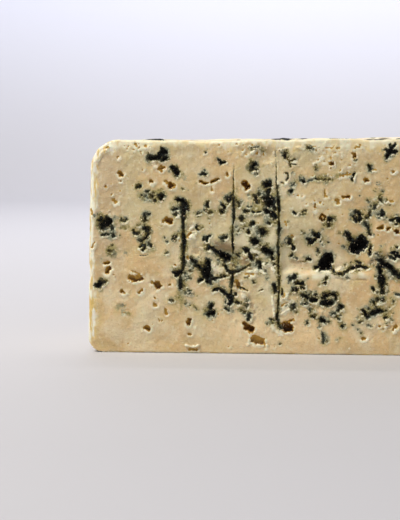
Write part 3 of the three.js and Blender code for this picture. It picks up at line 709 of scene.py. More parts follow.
@dataclass(frozen=True)
class CutFace:
    """The cut face: its marks, its unevenness and the smeared strip along its edge.

    Attributes:
        form: The wheel.
        seed: Seed of everything uneven.
        specks: Small mould specks strewn near the mould marks.
        smoke: Flat stains strewn there.
        near: How close to the mould marks these lie.
        scratches: Pale scratches strewn all over.
        scratch: How long and how steep a scratch is.
        pinholes: Small brown holes strewn all over.
        dots: Golden dots.
        golden: Where they lie close: across, up, half width, half height, count.
        ends: Mould pockets strewn over the right end, as deep as so many times their half width.
        bend: How far a pocket there stretches.
        reach: How far beyond its edge a mark still tells.
        curd: Size of the curds that give the marks their corners.
        torn_curd: Size of the lumps where the paste is torn.
        torn: Where it is torn: across, up, half width, half height.
        scoops: Where flakes were pulled off: across, up, width, height, depth.
        ledge: A step below which the paste stands proud: from, to along the face, its height, its depth.
        drift: How far drawn marks lie right of and above where they were measured.
        spread: How much further apart they lie at the base.
        gather: How much closer together they lie everywhere.
        middle: The place, as (across, up), that they gather to.
    """

    form: WheelForm
    seed: int = 41
    specks: Scatter = Scatter(Kind.POCKET, (0.2, 0.55), (0.2, 0.8), 330, up=(3.0, 91.0))
    smoke: Scatter = Scatter(Kind.STAIN, (0.7, 1.6), (0.4, 0.8), 70, up=(3.0, 91.0))
    near: float = 2.3
    scratches: Scatter = Scatter(Kind.FLAKE, (0.14, 0.24), (0.08, 0.2), 70, up=(4.0, 92.0))
    scratch: Pair = (2.5, 1.2)
    pinholes: Scatter = Scatter(Kind.EYE, (0.18, 0.34), (0.3, 0.6), 150)
    dots: Scatter = Scatter(Kind.OCHRE, (0.25, 0.55), (0.15, 0.3))
    golden: tuple[Row, ...] = (
        (108, 86, 9, 6.5, 34), (22, 91, 7, 3, 14), (72, 90.5, 10, 3, 10), (98, 68, 9, 4, 8),
        (160, 88, 14, 5, 20),
    )
    ends: Scatter = Scatter(Kind.POCKET, (0.5, 1.3), (1.7, 1.7), 46, up=(8.0, 90.0), across=(140.0, 190.0))
    bend: float = 1.6
    reach: float = 2.4
    curd: float = 1.05
    torn_curd: float = 2.3
    torn: tuple[Row, ...] = (
        (46.5, 55, 4, 5), (57, 38.1, 6, 4.5), (50, 46.1, 5, 3), (67.9, 31.7, 3.5, 5), (75.8, 39.1, 8, 3.5),
        (88.5, 25.3, 2.2, 3.5), (105.6, 19.8, 9, 4), (130.9, 13.2, 6, 2.2), (31.2, 84.3, 4, 3),
        (90.7, 86.7, 4, 3.5), (111.5, 38.6, 6, 2), (71.8, 20.8, 4, 6), (158, 26, 10, 6), (168, 62, 8, 6),
    )
    scoops: tuple[Row, ...] = (
        (79.2, 88.4, 9, 7, 1), (63.9, 45.2, 17, 7, 1.5), (130.9, 44.5, 7.5, 3.8, 0.8), (154, 49, 10, 7, 1),
    )
    ledge: Row = (85.1, 129.0, 35.7, 1.8)
    drift: Pair = (0.3, 0.0)
    spread: float = 0.0075
    gather: float = 0.008
    middle: Pair = (50.0, 41.3)

    def moved(self, place: Pair) -> Pair:
        """Moves a drawn place to where it lies on the face.

        The places were measured as seen from straight ahead and a little nearer, but the view looks down
        and so draws the lower ones together.

        Args:
            place: The place as (across, up).

        Returns:
            The moved place.
        """
        across, up = place
        right, above = across - self.middle[0], up - self.middle[1]
        wider = self.spread * (1 - up / self.form.height) - self.gather
        return across + self.drift[0] + wider * right, up + self.drift[1] - self.gather * above

    def drawn(self) -> list[Mark]:
        """Lists the marks that are placed one by one."""
        return [
            Mark(kind, half, deep, tuple(self.moved(place) for place in zip(places[::2], places[1::2])))
            for kind, rows in MARKS.items()
            for half, deep, *places in rows
        ]

    def strewn(self, drawn: list[Mark]) -> list[Mark]:
        """Strews small marks by a seeded draw.

        Args:
            drawn: The marks that are there already.

        Returns:
            Specks and stains near mould, scratches, pinholes, golden dots, and pockets on the right end.
        """
        dice = np.random.default_rng(self.seed)
        hosts = [m for m in drawn if m.kind in (Kind.POCKET, Kind.VEIN)]
        strewn = []
        for i, host in enumerate(dice.choice(len(hosts), self.specks.count + self.smoke.count)):
            kind = self.specks if i < self.specks.count else self.smoke
            places = hosts[host].places
            a, u = places[dice.integers(len(places))]
            place = (a + dice.normal(0, self.near), float(np.clip(u + dice.normal(0, self.near), *kind.up)))
            strewn.append(kind.mark(dice, place))
        for _ in range(self.scratches.count):
            a, u = self.scratches.anywhere(dice)
            end = (a + dice.normal(0, self.scratch[0]), u + dice.normal(0, self.scratch[1]))
            strewn.append(self.scratches.mark(dice, (a, u), end))
        for _ in range(self.pinholes.count):
            strewn.append(self.pinholes.mark(dice, self.pinholes.anywhere(dice)))
        for a, u, wide, high, count in self.golden:
            for x, z in dice.uniform(-1, 1, (int(count), 2)):
                strewn.append(self.dots.mark(dice, (a + wide * x, u + high * z)))
        for _ in range(self.ends.count):
            a, u = self.ends.anywhere(dice)
            half = dice.uniform(*self.ends.half)
            end = (a + dice.normal(0, self.bend), u + dice.normal(0, self.bend))
            strewn.append(Mark(self.ends.kind, half, self.ends.deep[0] * half, ((a, u), end)))
        return strewn

    def read(self, across: Array, up: Array) -> FaceMarks:
        """Reads all marks at points of the face.

        Args:
            across: The points' places from the left end.
            up: Their heights.

        Returns:
            The marks at those points.
        """
        count = len(across)
        points = np.column_stack((across, up))
        noise = SmoothNoise(self.seed)
        warp = np.column_stack(
            [0.5 * noise.at(points + s, 2.3) + 0.3 * noise.at(points + 2 * s, 0.9) for s in (31.7, 77.3)]
        )
        to_curd, curd = CurdCells(self.seed).at(points + 0.5 * warp, self.curd)
        fuzz = 1 + 0.9 * noise.at(points + 13, 4)
        swing = noise.at(points + 57, (6, 3.2))
        read = FaceMarks(*(np.zeros(count) for _ in range(8)), np.full(count, self.reach))
        raised = np.zeros(count)
        order = np.argsort(across)
        sorted_across = across[order]
        drawn = self.drawn()
        for mark in drawn + self.strewn(drawn):
            margin = mark.half + self.reach
            places = np.array(mark.places)
            low, high = places.min(0) - margin, places.max(0) + margin
            near = order[np.searchsorted(sorted_across, low[0]) : np.searchsorted(sorted_across, high[0])]
            near = near[(up[near] > low[1]) & (up[near] < high[1])]
            if not len(near):
                continue
            steady = mark.kind in (Kind.VEIN, Kind.CRACK)
            sway = min(1.0, 0.3 + 0.5 * mark.half) * (0.5 if steady else 1.0)
            at = points[near] + sway * warp[near]
            gap, under = mark.measure(*at.T)
            blocky, _ = mark.measure(*(at + to_curd[near]).T)
            habit = HABITS[mark.kind]
            gap += habit.blunt * (blocky - gap)
            stray = habit.stray * (0.4 if mark.black else 1.0)
            gap += stray * min(0.75, 0.7 * mark.half) * (curd[near] - 0.5)
            if mark.kind is Kind.VEIN:
                gap += 0.6 * mark.half * swing[near]
            self.lay(mark, gap, under, near, fuzz[near], curd[near], read, raised)
        read.tinge = 1 - np.exp(-1.3 * read.tinge)
        read.depth = np.where(read.depth > 0.05, read.depth, read.depth - raised)
        self.tear(points, warp, read)
        # A band along the ledge's step is painted pale: a painted highlight where the step faces up to the
        # light.
        start, end, level, _ = self.ledge
        along = smoothstep(start, start + 4, across) * (1 - smoothstep(end - 8, end, across))
        brim = np.exp(-(((up - level + 0.6 - 0.9 * noise.at(points + 5, 7)) / 1.7) ** 2))
        ledge_highlight = 0.82 - 0.1 * smoothstep(104, 118, across) + 0.4 * noise.at(points, 2.3)
        read.pale_and_highlight = np.maximum(read.pale_and_highlight, 0.8 * along * brim * ledge_highlight)
        return read

    def tear(self, points: Array, warp: Array, read: FaceMarks) -> None:
        """Breaks the paste into lumps where the knife tore it, with pale paint on the proud lumps, partly
        their own colour and partly painted highlight, and painted shade between them.

        Args:
            points: The points as (across, up).
            warp: How far each is moved to make the lumps uneven.
            read: What the points carry, added to here.
        """
        share = np.zeros(len(points))
        for across, up, wide, high in self.torn:
            away = np.hypot((points[:, 0] - across) / wide, (points[:, 1] - up) / high)
            share = np.maximum(share, 1 - smoothstep(0.35, 1.15, away + 0.5 * warp[:, 0]))
        _, lump = CurdCells(self.seed + 5).at(points + warp, self.torn_curd)
        _, bit = CurdCells(self.seed + 6).at(points + warp, 0.5 * self.torn_curd)
        read.depth += share * (0.75 - 1.1 * lump - 0.35 * bit)
        read.gap = np.where(share > 0.3, np.minimum(read.gap, 0), read.gap)
        # Pale paint on the proud lumps is partly their own paler curd and partly painted highlight; the
        # sunk ones get painted shade.
        read.pale_and_highlight = np.maximum(read.pale_and_highlight, 0.7 * share * smoothstep(0.45, 0.9, 0.7 * lump + 0.3 * bit))
        read.hollow_shade = np.maximum(read.hollow_shade, 0.55 * share * (1 - smoothstep(0.1, 0.45, lump)))
        read.crumbs = np.maximum(read.crumbs, 0.3 * share * smoothstep(0.6, 0.9, lump))

    def lay(
        self,
        mark: Mark,
        gap: Array,
        under: Array,
        near: Array,
        fuzz: Array,
        curd: Array,
        read: FaceMarks,
        raised: Array,
    ) -> None:
        """Lays one mark over the points near it.

        Args:
            mark: The mark.
            gap: The points' distance to its edge.
            under: How far below it they lie.
            near: The points' indices.
            fuzz: How soft mould's edge is at the points.
            curd: The value of each point's curd.
            read: What all points carry, added to here.
            raised: How far all points stand proud, added to here.
        """

        def cover(values: Array, more: Array) -> None:
            """Keeps the larger value at each of the near points."""
            values[near] = np.maximum(values[near], more)

        habit = HABITS[mark.kind]
        inside = np.clip(-gap / mark.half, 0, 1)
        bowl = np.clip(1 - (1 - inside) ** 2, 0, 1)
        # The lip is strongest on the mark's lower side. Its pale paint is partly the torn paste's own
        # colour and partly a painted highlight where the lip faces up to the light.
        facing = np.clip(0.45 + 0.6 * under, 0, 1) * (0.55 + 0.7 * curd)
        lip = np.exp(-(((gap - habit.lip_at) / habit.lip_wide) ** 2)) * facing
        size = min(1.0, mark.half / 0.6)
        for values, most in ((raised, habit.raised), (read.pale_and_highlight, habit.pale_and_highlight), (read.crumbs, habit.crumbs)):
            cover(values, most * lip * size**habit.fade)
        if mark.kind is not Kind.HOLLOW:
            read.gap[near] = np.minimum(read.gap[near], gap)
        if mark.kind in (Kind.POCKET, Kind.VEIN):
            wide = np.clip(1 - np.maximum(gap, 0) / self.reach, 0, 1)
            read.tinge[near] += min(1.0, 0.25 + 0.5 * mark.half) * wide**1.5
            if mark.black:
                soft, full = 0.35, 1.6
            else:
                soft = (0.6 + 0.4 * mark.half) * fuzz * (1.1 - 0.6 * np.clip(under, 0, 1))
                full = float(np.clip(0.42 + 0.3 * mark.deep, 0.5, 1))
            # The mould's paint reaches a little further above a mark, where it also fades more softly
            # unless the mark is black, and stops short below it: painted shade above the mark, and room
            # below for the lit lower wall.
            cover(read.mould, full * np.clip(0.5 - (gap + 0.1 * under * size) / (2 * soft), 0, 1))
        if mark.kind is Kind.POCKET:
            cover(read.depth, mark.deep * smoothstep(-0.05, 0.6, inside) * (0.7 + 0.5 * curd))
        elif mark.kind is Kind.VEIN:
            cover(read.depth, mark.deep * bowl**0.5)
        elif mark.kind in (Kind.EYE, Kind.OCHRE, Kind.CRACK):
            thin = mark.kind is Kind.CRACK
            # The brown paint darkens towards the lower side of each mark and, in eyes and cracks, with
            # depth, turning black in the deepest eyes: painted shade over their own brown and ochre.
            strength = 0.72 if mark.kind is Kind.OCHRE else 0.8 + 0.13 * mark.deep
            cover(read.depth, mark.deep * bowl**0.6 * (0.8 + 0.35 * under))
            shown = np.clip(0.5 - (gap - (-0.1 if thin else 0.1)) / 0.6, 0, 1)
            cover(read.brown, shown * (strength + 0.3 * under))
            if thin:
                cover(read.mould, 0.5 * shown)
        elif mark.kind is Kind.STAIN:
            cover(read.stain, mark.deep * np.clip(0.5 - gap / (2 * mark.half), 0, 1))
        elif mark.kind is Kind.FLAKE:
            cover(raised, mark.deep * smoothstep(0, 0.5, inside) * (0.5 + curd))
            cover(read.pale_and_highlight, min(0.85, 0.35 + 1.2 * mark.deep) * smoothstep(-0.2, 0.4, inside))
        elif mark.kind is Kind.HOLLOW:
            cover(read.depth, mark.deep * smoothstep(0, 1, inside))
            # Painted shade in the hollow.
            cover(read.hollow_shade, min(1.0, mark.deep) * np.clip(0.5 - gap / mark.half, 0, 1))

    def swell(self, across: Array, up: Array) -> Array:
        """Gives the face's own unevenness, without its marks.

        Args:
            across: The points' places from the left end.
            up: Their heights.

        Returns:
            How deep each point lies.
        """
        points = np.column_stack((across, up))
        noise = SmoothNoise(self.seed + 1)
        depth = 0.22 * noise.at(points, 14) + 0.17 * noise.at(points, 5) + 0.13 * noise.at(points, 1.9)
        depth += 0.03 * noise.at(points, (2.1, 12)) + 0.05 * noise.at(points, 0.95)
        for a, u, wide, high, deep in self.scoops:
            bowl = np.clip(1 - ((across - a) / wide * 2) ** 2 - ((up - u) / high * 2) ** 2, 0, 1)
            depth += deep * bowl**0.7
        start, end, level, drop = self.ledge
        along = smoothstep(start, start + 3, across) * (1 - smoothstep(end - 10, end, across))
        step = level + 0.9 * noise.at(points, 7)
        above = smoothstep(0, 2.6, up - step) * (1 - smoothstep(level + 8, level + 22, up))
        return depth + drop * along * above

    def smear(self, outline: Array) -> Array:
        """Gives the width of the strip that the knife smeared from the rind over the face's edge.

        Args:
            outline: Points of the outline nearest to the points in question, as (x, z).

        Returns:
            The strip's width there.
        """
        noise = SmoothNoise(self.seed + 2)
        ragged = 0.6 * noise.at(outline, 8) + 0.5 * noise.at(outline, 2.6)
        top = smoothstep(self.form.height - 9, self.form.height - 1, outline[:, 1])
        round_end = smoothstep(self.form.top_flat - 4, self.form.top_flat + 3, np.abs(outline[:, 0])) * top
        later = smoothstep(-12, 2, outline[:, 0]) * top
        width = 1.8 + 1.1 * round_end + 1.4 * later + ragged * (1 + top)
        return width * smoothstep(0, 9, outline[:, 1]) + 0.2


@dataclass(frozen=True)
class Rind:
    """The rind: its swells, pits and creases, mould on the top, and the needle channels' mouths there.

    Attributes:
        form: The wheel.
        seed: Seed of everything uneven.
        columns: Where the channels' rows lie along the face.
        mouth_pitch: Distance between mouths in a row.
        mouth_half: Half a mouth's width.
        mouth_deep: Its depth.
        mouth_margin: No mouth lies closer to the side or the cut than this.
        mouth_stray: How far a mouth lies off its row.
        tufts: Patches of mould on the top behind the cut: from, to along the face, distance behind, height.
    """

    form: WheelForm
    seed: int = 77
    columns: Row = (42.2, 64.6, 84.8, 106.0, 131.0, 153.0, 175.0)
    mouth_pitch: float = 22.0
    mouth_half: float = 1.2
    mouth_deep: float = 1.6
    mouth_margin: float = 17.0
    mouth_stray: float = 2.5
    tufts: tuple[Row, ...] = (
        (25.7, 31.7, 4.5, 0.3), (83.2, 85.7, 4, 0.35), (87.7, 92.2, 4, 0.55), (93.8, 95.2, 4, 0.35),
        (107.8, 110.8, 4, 0.35), (113, 114.6, 4, 0.3), (118.7, 125.2, 4, 0.4), (127.9, 132.1, 4, 0.4),
        (138.1, 141.3, 4, 0.4), (163, 166.5, 8, 0.9),
    )

    def mouths(self) -> Array:
        """Lists the channels' mouths in the top.

        Returns:
            Their places as (x, y) on the true drum.
        """
        rows = math.ceil((self.form.radius - self.mouth_margin) / self.mouth_pitch)
        column, row = np.mgrid[0 : len(self.columns), 0:rows].reshape(2, -1)
        x = np.array(self.columns)[column] - self.form.radius
        x += self.mouth_stray * np.sin(7 * column + 3 * row)
        y = self.mouth_margin + self.mouth_pitch * row + self.mouth_stray * np.cos(5 * column + 11 * row)
        kept = np.hypot(x, y) < self.form.radius - self.mouth_margin
        return np.column_stack((x, y))[kept]

    def read(self, places: Array, normals: Array) -> tuple[Array, Array, Array]:
        """Reads the rind's relief and what grows on it.

        Args:
            places: Points of the rind on the true drum.
            normals: Their outward normals.

        Returns:
            How far each point stands proud, how much mould is on it, and how much painted shade its pits
            and creases get.
        """
        noise = SmoothNoise(self.seed)
        x, y, z = places.T
        height = 0.4 * noise.at(places, 17) + 0.2 * noise.at(places, 6) + 0.12 * noise.at(places, 2.7)
        pits = smoothstep(0.4, 0.75, noise.at(places + 50, 4.2))
        creases = 1 - smoothstep(0, 0.07, np.abs(noise.at(places + 90, 11)))
        height -= 0.6 * pits + 0.3 * creases
        ragged = 0.7 * noise.at(places + 20, 5) + 0.5 * noise.at(places, 1.8)
        top = smoothstep(0.6, 0.9, normals[:, 2])
        mould = (0.4 + 0.25 * top) * smoothstep(0.5, 0.95, noise.at(places + 33, 13) + 0.6 * ragged)
        mould *= 1 - top * (1 - smoothstep(12, 24, y))
        for i, (mouth_x, mouth_y) in enumerate(self.mouths()):
            away = np.hypot(x - mouth_x, y - mouth_y) / (self.mouth_half * (1 + 0.35 * math.sin(2.3 * i)))
            height -= top * self.mouth_deep * np.clip(1 - away**2, 0, 1) ** 0.5
            mould = np.maximum(mould, top * (1 - smoothstep(0.6, 2.4, away + 0.5 * ragged)))
        for start, end, behind, tall in self.tufts:
            across = x + self.form.radius
            long = np.maximum(np.maximum(start - across, across - end), 0) / 2.2
            away = np.hypot(long, (y - behind) / (0.4 * behind + 1.5)) + ragged
            tuft = top * (1 - smoothstep(0.1, 1.2, away))
            height += tall * tuft * (0.9 + 0.4 * ragged)
            mould = np.maximum(mould, np.minimum(1, 1.3 * tuft))
        return height * smoothstep(0.2, 6, z), mould, 0.7 * np.maximum(pits, 0.6 * creases)


@dataclass(frozen=True)
class Patch:
    """A stretch of the surface on the true drum, split into triangles.

    Attributes:
        places: Its points.
        normals: Their outward normals.
        triangles: Indices of its points, three a row.
    """

    places: Array
    normals: Array
    triangles: Array


def triangulate(border: Array, inner: Array) -> Array:
    """Splits a flat region into triangles.

    Args:
        border: Its outline, turning to the left.
        inner: Points inside it.

    Returns:
        Indices of the border's and then the inner points, three a row, turning to the left.
    """
    count = len(border)
    ring = [(i, (i + 1) % count) for i in range(count)]
    points = [Vector(point) for point in np.vstack((border, inner))]
    found = delaunay_2d_cdt(points, ring, [], 1, 1e-7)
    source = np.array([ids[0] for ids in found[3]])
    return source[np.array(found[2])]


def joined(*sides: tuple[Array | float, Array | float]) -> Array:
    """Joins sides, each ending where the next one starts, into one closed outline."""
    return np.vstack([np.column_stack(np.broadcast_arrays(*side))[:-1] for side in sides])


def lattice(
    low: Sequence[float],
    high: Sequence[float],
    pitch: float,
    level: Callable[[Array], Array],
    seed: int,
) -> Array:
    """Spreads points over a rectangle, slightly off their rows.

    Args:
        low: Its lowest corner.
        high: Its highest corner.
        pitch: The closest spacing.
        level: How far the points are thinned out at each place: 0 not at all, 1 to every second, 2 to every
            fourth.
        seed: Seed of the strays.

    Returns:
        The points, one row each.
    """
    counts = [int((h - lo) / pitch) for lo, h in zip(low, high)]
    i, j = np.mgrid[1 : counts[0], 1 : counts[1]].reshape(2, -1)
    stray = np.random.default_rng(seed).uniform(-0.2, 0.2, (len(i), 2))
    points = np.asarray(low) + (np.column_stack((i, j)) + stray) * pitch
    step = 2 ** level(points)
    return points[(i % step == 0) & (j % step == 0)]


@dataclass(frozen=True)
class HalfWheel:
    """The cheese itself, one closed mesh.

    Attributes:
        form: The wheel that it was cut from.
        face: The cut face.
        rind: The rind.
        face_pitch: Closest spacing of points on the face.
        rind_pitch: Closest spacing on the rind.
        edge_pitch: Spacing along the edge between face and rind.
        ring_count: Points round the wheel.
        ring_gather: How much closer they lie near the cut.
        mark_margin: How far round a mark the face's points stay close together.
        edge_margin: The same along the face's edge.
        rim_round: Round of the edge between face and rind.
        rim_low: The same at the base.
        rim_waves: Height and length of the edge's waves.
        rim_fade: How far from the edge they tell.
        strip: How far from the cut the rind's points stay close together.
        ridge: Height and half width of the ridge where the smeared strip ends.
        groove: Depth, distance from the edge and half width of the groove along the round ends.
        grit: Depth and size of the roughness where mould tinges the paste.
        crease: Edges folded more sharply than this stay crisp.
    """

    form: WheelForm
    face: CutFace
    rind: Rind
    face_pitch: float = 0.38
    rind_pitch: float = 0.85
    edge_pitch: float = 0.5
    ring_count: int = 200
    ring_gather: float = 0.72
    mark_margin: float = 0.65
    edge_margin: float = 1.6
    rim_round: float = 1.3
    rim_low: float = 0.9
    rim_waves: tuple[Pair, ...] = ((0.35, 7.0), (0.2, 2.4))
    rim_fade: float = 4.0
    strip: float = 5.0
    ridge: Pair = (0.07, 0.6)
    groove: tuple[float, float, float] = (0.2, 3.4, 0.7)
    grit: Pair = (0.16, 1.2)
    crease: float = 70.0

    def edge_line(self, half: float) -> Array:
        """Spaces points along a straight edge from -half to half."""
        return np.linspace(-half, half, round(2 * half / self.edge_pitch) + 1)

    def side_line(self) -> Array:
        """Spaces points along the half section, from the base's edge to the top's."""
        return np.linspace(0, self.form.side_length, round(self.form.side_length / self.edge_pitch) + 1)

    def ring(self) -> Array:
        """Spaces angles round the half wheel, close together near the cut."""
        share = np.linspace(0, 1, self.ring_count)
        return np.pi * (share - self.ring_gather * np.sin(2 * np.pi * share) / (2 * np.pi))

    def face_patch(self) -> Patch:
        """Makes the cut face.

        Returns:
            The patch, with more points near its marks and its edge.
        """
        form = self.form
        radius, height, _, _ = form.side_at(self.side_line())
        base, top = self.edge_line(form.foot_centre), self.edge_line(form.top_flat)
        border = joined(
            (base, 0), (radius, height), (top[::-1], form.height), (-radius[::-1], height[::-1])
        )

        def level(points: Array) -> Array:
            """Keeps every point near a mark or the edge."""
            marked = self.face.read(points[:, 0] + form.radius, points[:, 1]).gap < self.mark_margin
            return np.where(marked | (form.edge(*points.T)[0] < self.edge_margin), 0, 1)

        reach = form.radius + form.slump
        inner = lattice((-reach, 0), (reach, form.height), self.face_pitch, level, self.face.seed)
        edge, _, _ = form.edge(*inner.T)
        within = np.abs(inner[:, 0]) < form.side_radius(inner[:, 1])
        inner = inner[(edge > 0.5 * self.face_pitch) & within]
        flat = np.vstack((border, inner))
        places = np.column_stack((flat[:, 0], np.zeros(len(flat)), flat[:, 1]))
        return Patch(places, np.tile((0.0, -1.0, 0.0), (len(flat), 1)), triangulate(border, inner))

    def side_patch(self) -> Patch:
        """Makes the rind's side.

        Returns:
            The patch, with its foot and shoulder.
        """
        form = self.form
        along, ring = self.side_line(), self.ring()
        arc, length = np.pi * form.radius, form.side_length
        border = joined(
            (ring * form.radius, 0), (arc, along), (ring[::-1] * form.radius, length), (0, along[::-1])
        )

        def level(points: Array) -> Array:
            """Keeps every point near the cut."""
            return np.where(np.minimum(points[:, 0], arc - points[:, 0]) < self.strip, 0, 1)

        inner = lattice((0, 0), (arc, length), self.rind_pitch, level, self.rind.seed)
        margin = 0.4 * self.rind_pitch
        inner = inner[(inner[:, 0] < arc - margin) & (inner[:, 1] < length - margin)]
        flat = np.vstack((border, inner))
        turn = flat[:, 0] / form.radius
        radius, height, out, rise = form.side_at(flat[:, 1])
        places = np.column_stack((radius * np.cos(turn), radius * np.sin(turn), height))
        normals = np.column_stack((out * np.cos(turn), out * np.sin(turn), rise))
        return Patch(places, normals, triangulate(border, inner))

    def disc_patch(self, radius: float, z: float, thin: int) -> Patch:
        """Makes the flat top or base.

        Args:
            radius: Its radius.
            z: Its height.
            thin: How far its points are thinned out away from the cut, as in lattice.

        Returns:
            The patch, facing up at the top and down at the base.
        """
        ring = self.ring()
        straight = self.edge_line(radius)
        border = joined((straight, 0), (radius * np.cos(ring), radius * np.sin(ring)))

        def level(points: Array) -> Array:
            """Keeps every point near the cut."""
            return np.where(points[:, 1] < 2 * self.strip, 0, thin)

        inner = lattice((-radius, 0), (radius, radius), self.rind_pitch, level, self.rind.seed)
        inner = inner[np.hypot(*inner.T) < radius - self.rind_pitch]
        flat = np.vstack((border, inner))
        facing = 1.0 if z > 0 else -1.0
        triangles = triangulate(border, inner)
        return Patch(
            np.column_stack((flat, np.full(len(flat), z))),
            np.tile((0.0, 0.0, facing), (len(flat), 1)),
            triangles if z > 0 else triangles[:, ::-1],
        )

    def round_rim(self, gap: Array, outline: Array) -> tuple[Array, Array]:
        """Rounds the edge between face and rind.

        Args:
            gap: How far points lie from the edge.
            outline: The edge's points nearest to them, as (x, z).

        Returns:
            How far the points then lie from the edge, and how far they draw back from their own surface.
        """
        noise = SmoothNoise(self.face.seed + 3)
        size = self.rim_low + (self.rim_round - self.rim_low) * smoothstep(1, 12, outline[:, 1])
        size *= 1 + 0.3 * noise.at(outline, 9) + 0.12 * noise.at(outline, 3.1)
        tilt = np.clip(np.pi / 4 - gap / size, 0, np.pi / 4)
        arc = size * np.pi / 4
        spare = (size - arc) * (1 - smoothstep(0, 6, gap - arc))
        along = np.where(gap < arc, size * (1 - np.sin(tilt)), gap + spare)
        return along, size * (1 - np.cos(tilt))

    def build(self, finish: bpy.types.Material, low: Vector) -> bpy.types.Object:
        """Makes the cheese.

        Args:
            finish: Its material.
            low: The lowest corner of the solid that it stands for.

        Returns:
            The finished object.
        """
        patches = [
            self.face_patch(),
            self.side_patch(),
            self.disc_patch(self.form.top_flat, self.form.height, 1),
            self.disc_patch(self.form.foot_centre, 0, 2),
        ]
        starts = np.cumsum([0] + [len(patch.places) for patch in patches])
        places = np.vstack([patch.places for patch in patches])
        normals = np.vstack([patch.normals for patch in patches])
        triangles = np.vstack([patch.triangles + start for patch, start in zip(patches, starts)])
        rounded = np.round(places, 4) + 0.0
        _, first, same = np.unique(rounded, axis=0, return_index=True, return_inverse=True)
        points, paints = self.shape(places[first], normals[first], first < starts[1])
        points[:, 0] -= (points[:, 0].min() + points[:, 0].max()) / 2
        points[:, 1] += low.y / MM - self.form.cut_y
        mesh = bpy.data.meshes.new("blue_cheese_half")
        mesh.from_pydata((points * MM).tolist(), [], same.reshape(-1)[triangles].tolist())
        for name, values in paints.items():
            mesh.attributes.new(name, "FLOAT", "POINT").data.foreach_set("value", values.astype(np.float32))
        mesh.materials.append(finish)
        mesh.shade_smooth()
        mesh.set_sharp_from_angle(angle=math.radians(self.crease))
        return place(mesh)

    def shape(self, places: Array, normals: Array, on_face: Array) -> tuple[Array, dict[str, Array]]:
        """Settles, rounds and roughens the drum's surface.

        Args:
            places: Its points on the true drum.
            normals: Their outward normals.
            on_face: Which of them are the cut face's.

        Returns:
            The finished points, and what is painted on each.
        """
        form = self.form
        points = form.settle(places)
        edge, in_x, in_z = form.edge(places[:, 0], places[:, 2])
        gap = np.where(on_face, edge, places[:, 1])
        outline = places[:, [0, 2]] - np.column_stack((in_x, in_z)) * np.where(on_face, edge, 0)[:, None]
        along, into = self.round_rim(gap, outline)
        inwards = np.column_stack((in_x, np.zeros(len(places)), in_z))
        backwards = np.array((0.0, 1.0, 0.0))
        run = np.where(on_face[:, None], inwards, backwards)
        points += run * (along - gap)[:, None] - normals * into[:, None]
        noise = SmoothNoise(self.face.seed + 7)
        wave = sum(high * noise.at(outline, long) for high, long in self.rim_waves)
        wave *= (1 - smoothstep(0, self.rim_fade, gap)) * smoothstep(3, 12, outline[:, 1])
        points += np.where(on_face[:, None], -inwards, normals) * wave[:, None]
        across, up = points[:, 0] + form.radius, points[:, 2]
        marks = self.face.read(across[on_face], up[on_face])
        smear = self.face.smear(outline)
        strip = 0.7 * np.clip(1 - gap / (2.2 * np.maximum(smear, 0.2)), 0, 1)
        height, rind_mould, pits = self.rind.read(places, normals)
        height *= smoothstep(0, 4, gap)
        high, wide = self.ridge
        ridge = high * np.exp(-(((gap - smear) / wide) ** 2))
        stray = SmoothNoise(self.face.seed + 4).at(outline, 11)
        deep, away, wide = self.groove
        groove = deep * (0.6 + stray) * np.exp(-(((gap - away - 1.2 * stray) / wide) ** 2))
        groove *= smoothstep(40, 62, outline[:, 1])
        groove *= smoothstep(form.top_flat, form.radius, np.abs(outline[:, 0]))
        ridge -= groove
        sunk = self.face.swell(across[on_face], up[on_face]) * smoothstep(0.5, 4, edge[on_face])
        sunk += marks.depth * smoothstep(0.1, 0.9, edge[on_face]) - ridge[on_face]
        deep, size = self.grit
        grit = SmoothNoise(self.face.seed).at(np.column_stack((across, up))[on_face], size)
        sunk += deep * marks.tinge * grit
        height[on_face] = -sunk
        points += normals * height[:, None]
        points[:, 2] = np.maximum(points[:, 2], 0)
        paints = {}
        for name in ("brown", "stain", "tinge", "pale_and_highlight", "hollow_shade", "crumbs"):
            paints[name] = np.zeros(len(places))
            paints[name][on_face] = getattr(marks, name)
        # On the rind this paint is painted shade in the pits and creases.
        paints["hollow_shade"] = np.where(on_face, paints["hollow_shade"], pits)
        paints["crumbs"] *= smoothstep(0.4, 1.2, points[:, 2])
        paints["hollow"] = np.zeros(len(places))
        paints["hollow"][on_face] = smoothstep(1.6, 3.0, marks.depth)
        paints["mould"] = rind_mould
        paints["mould"][on_face] = marks.mould
        paints["rind"] = np.where(on_face, strip, 1 + smoothstep(1.5, 4, gap))
        thick = smoothstep(0.6, 0.9, np.where(on_face, paints["mould"], 0))
        paints["tufts"] = thick * (1 - paints["hollow"])
        return points, paints


def place(data: bpy.types.ID) -> bpy.types.Object:
    """Puts a mesh, light or camera into the scene, at the origin.

    Args:
        data: What to put there.

    Returns:
        The object, which has the same name.
    """
    piece = bpy.data.objects.new(data.name, data)
    bpy.context.scene.collection.objects.link(piece)
    return piece


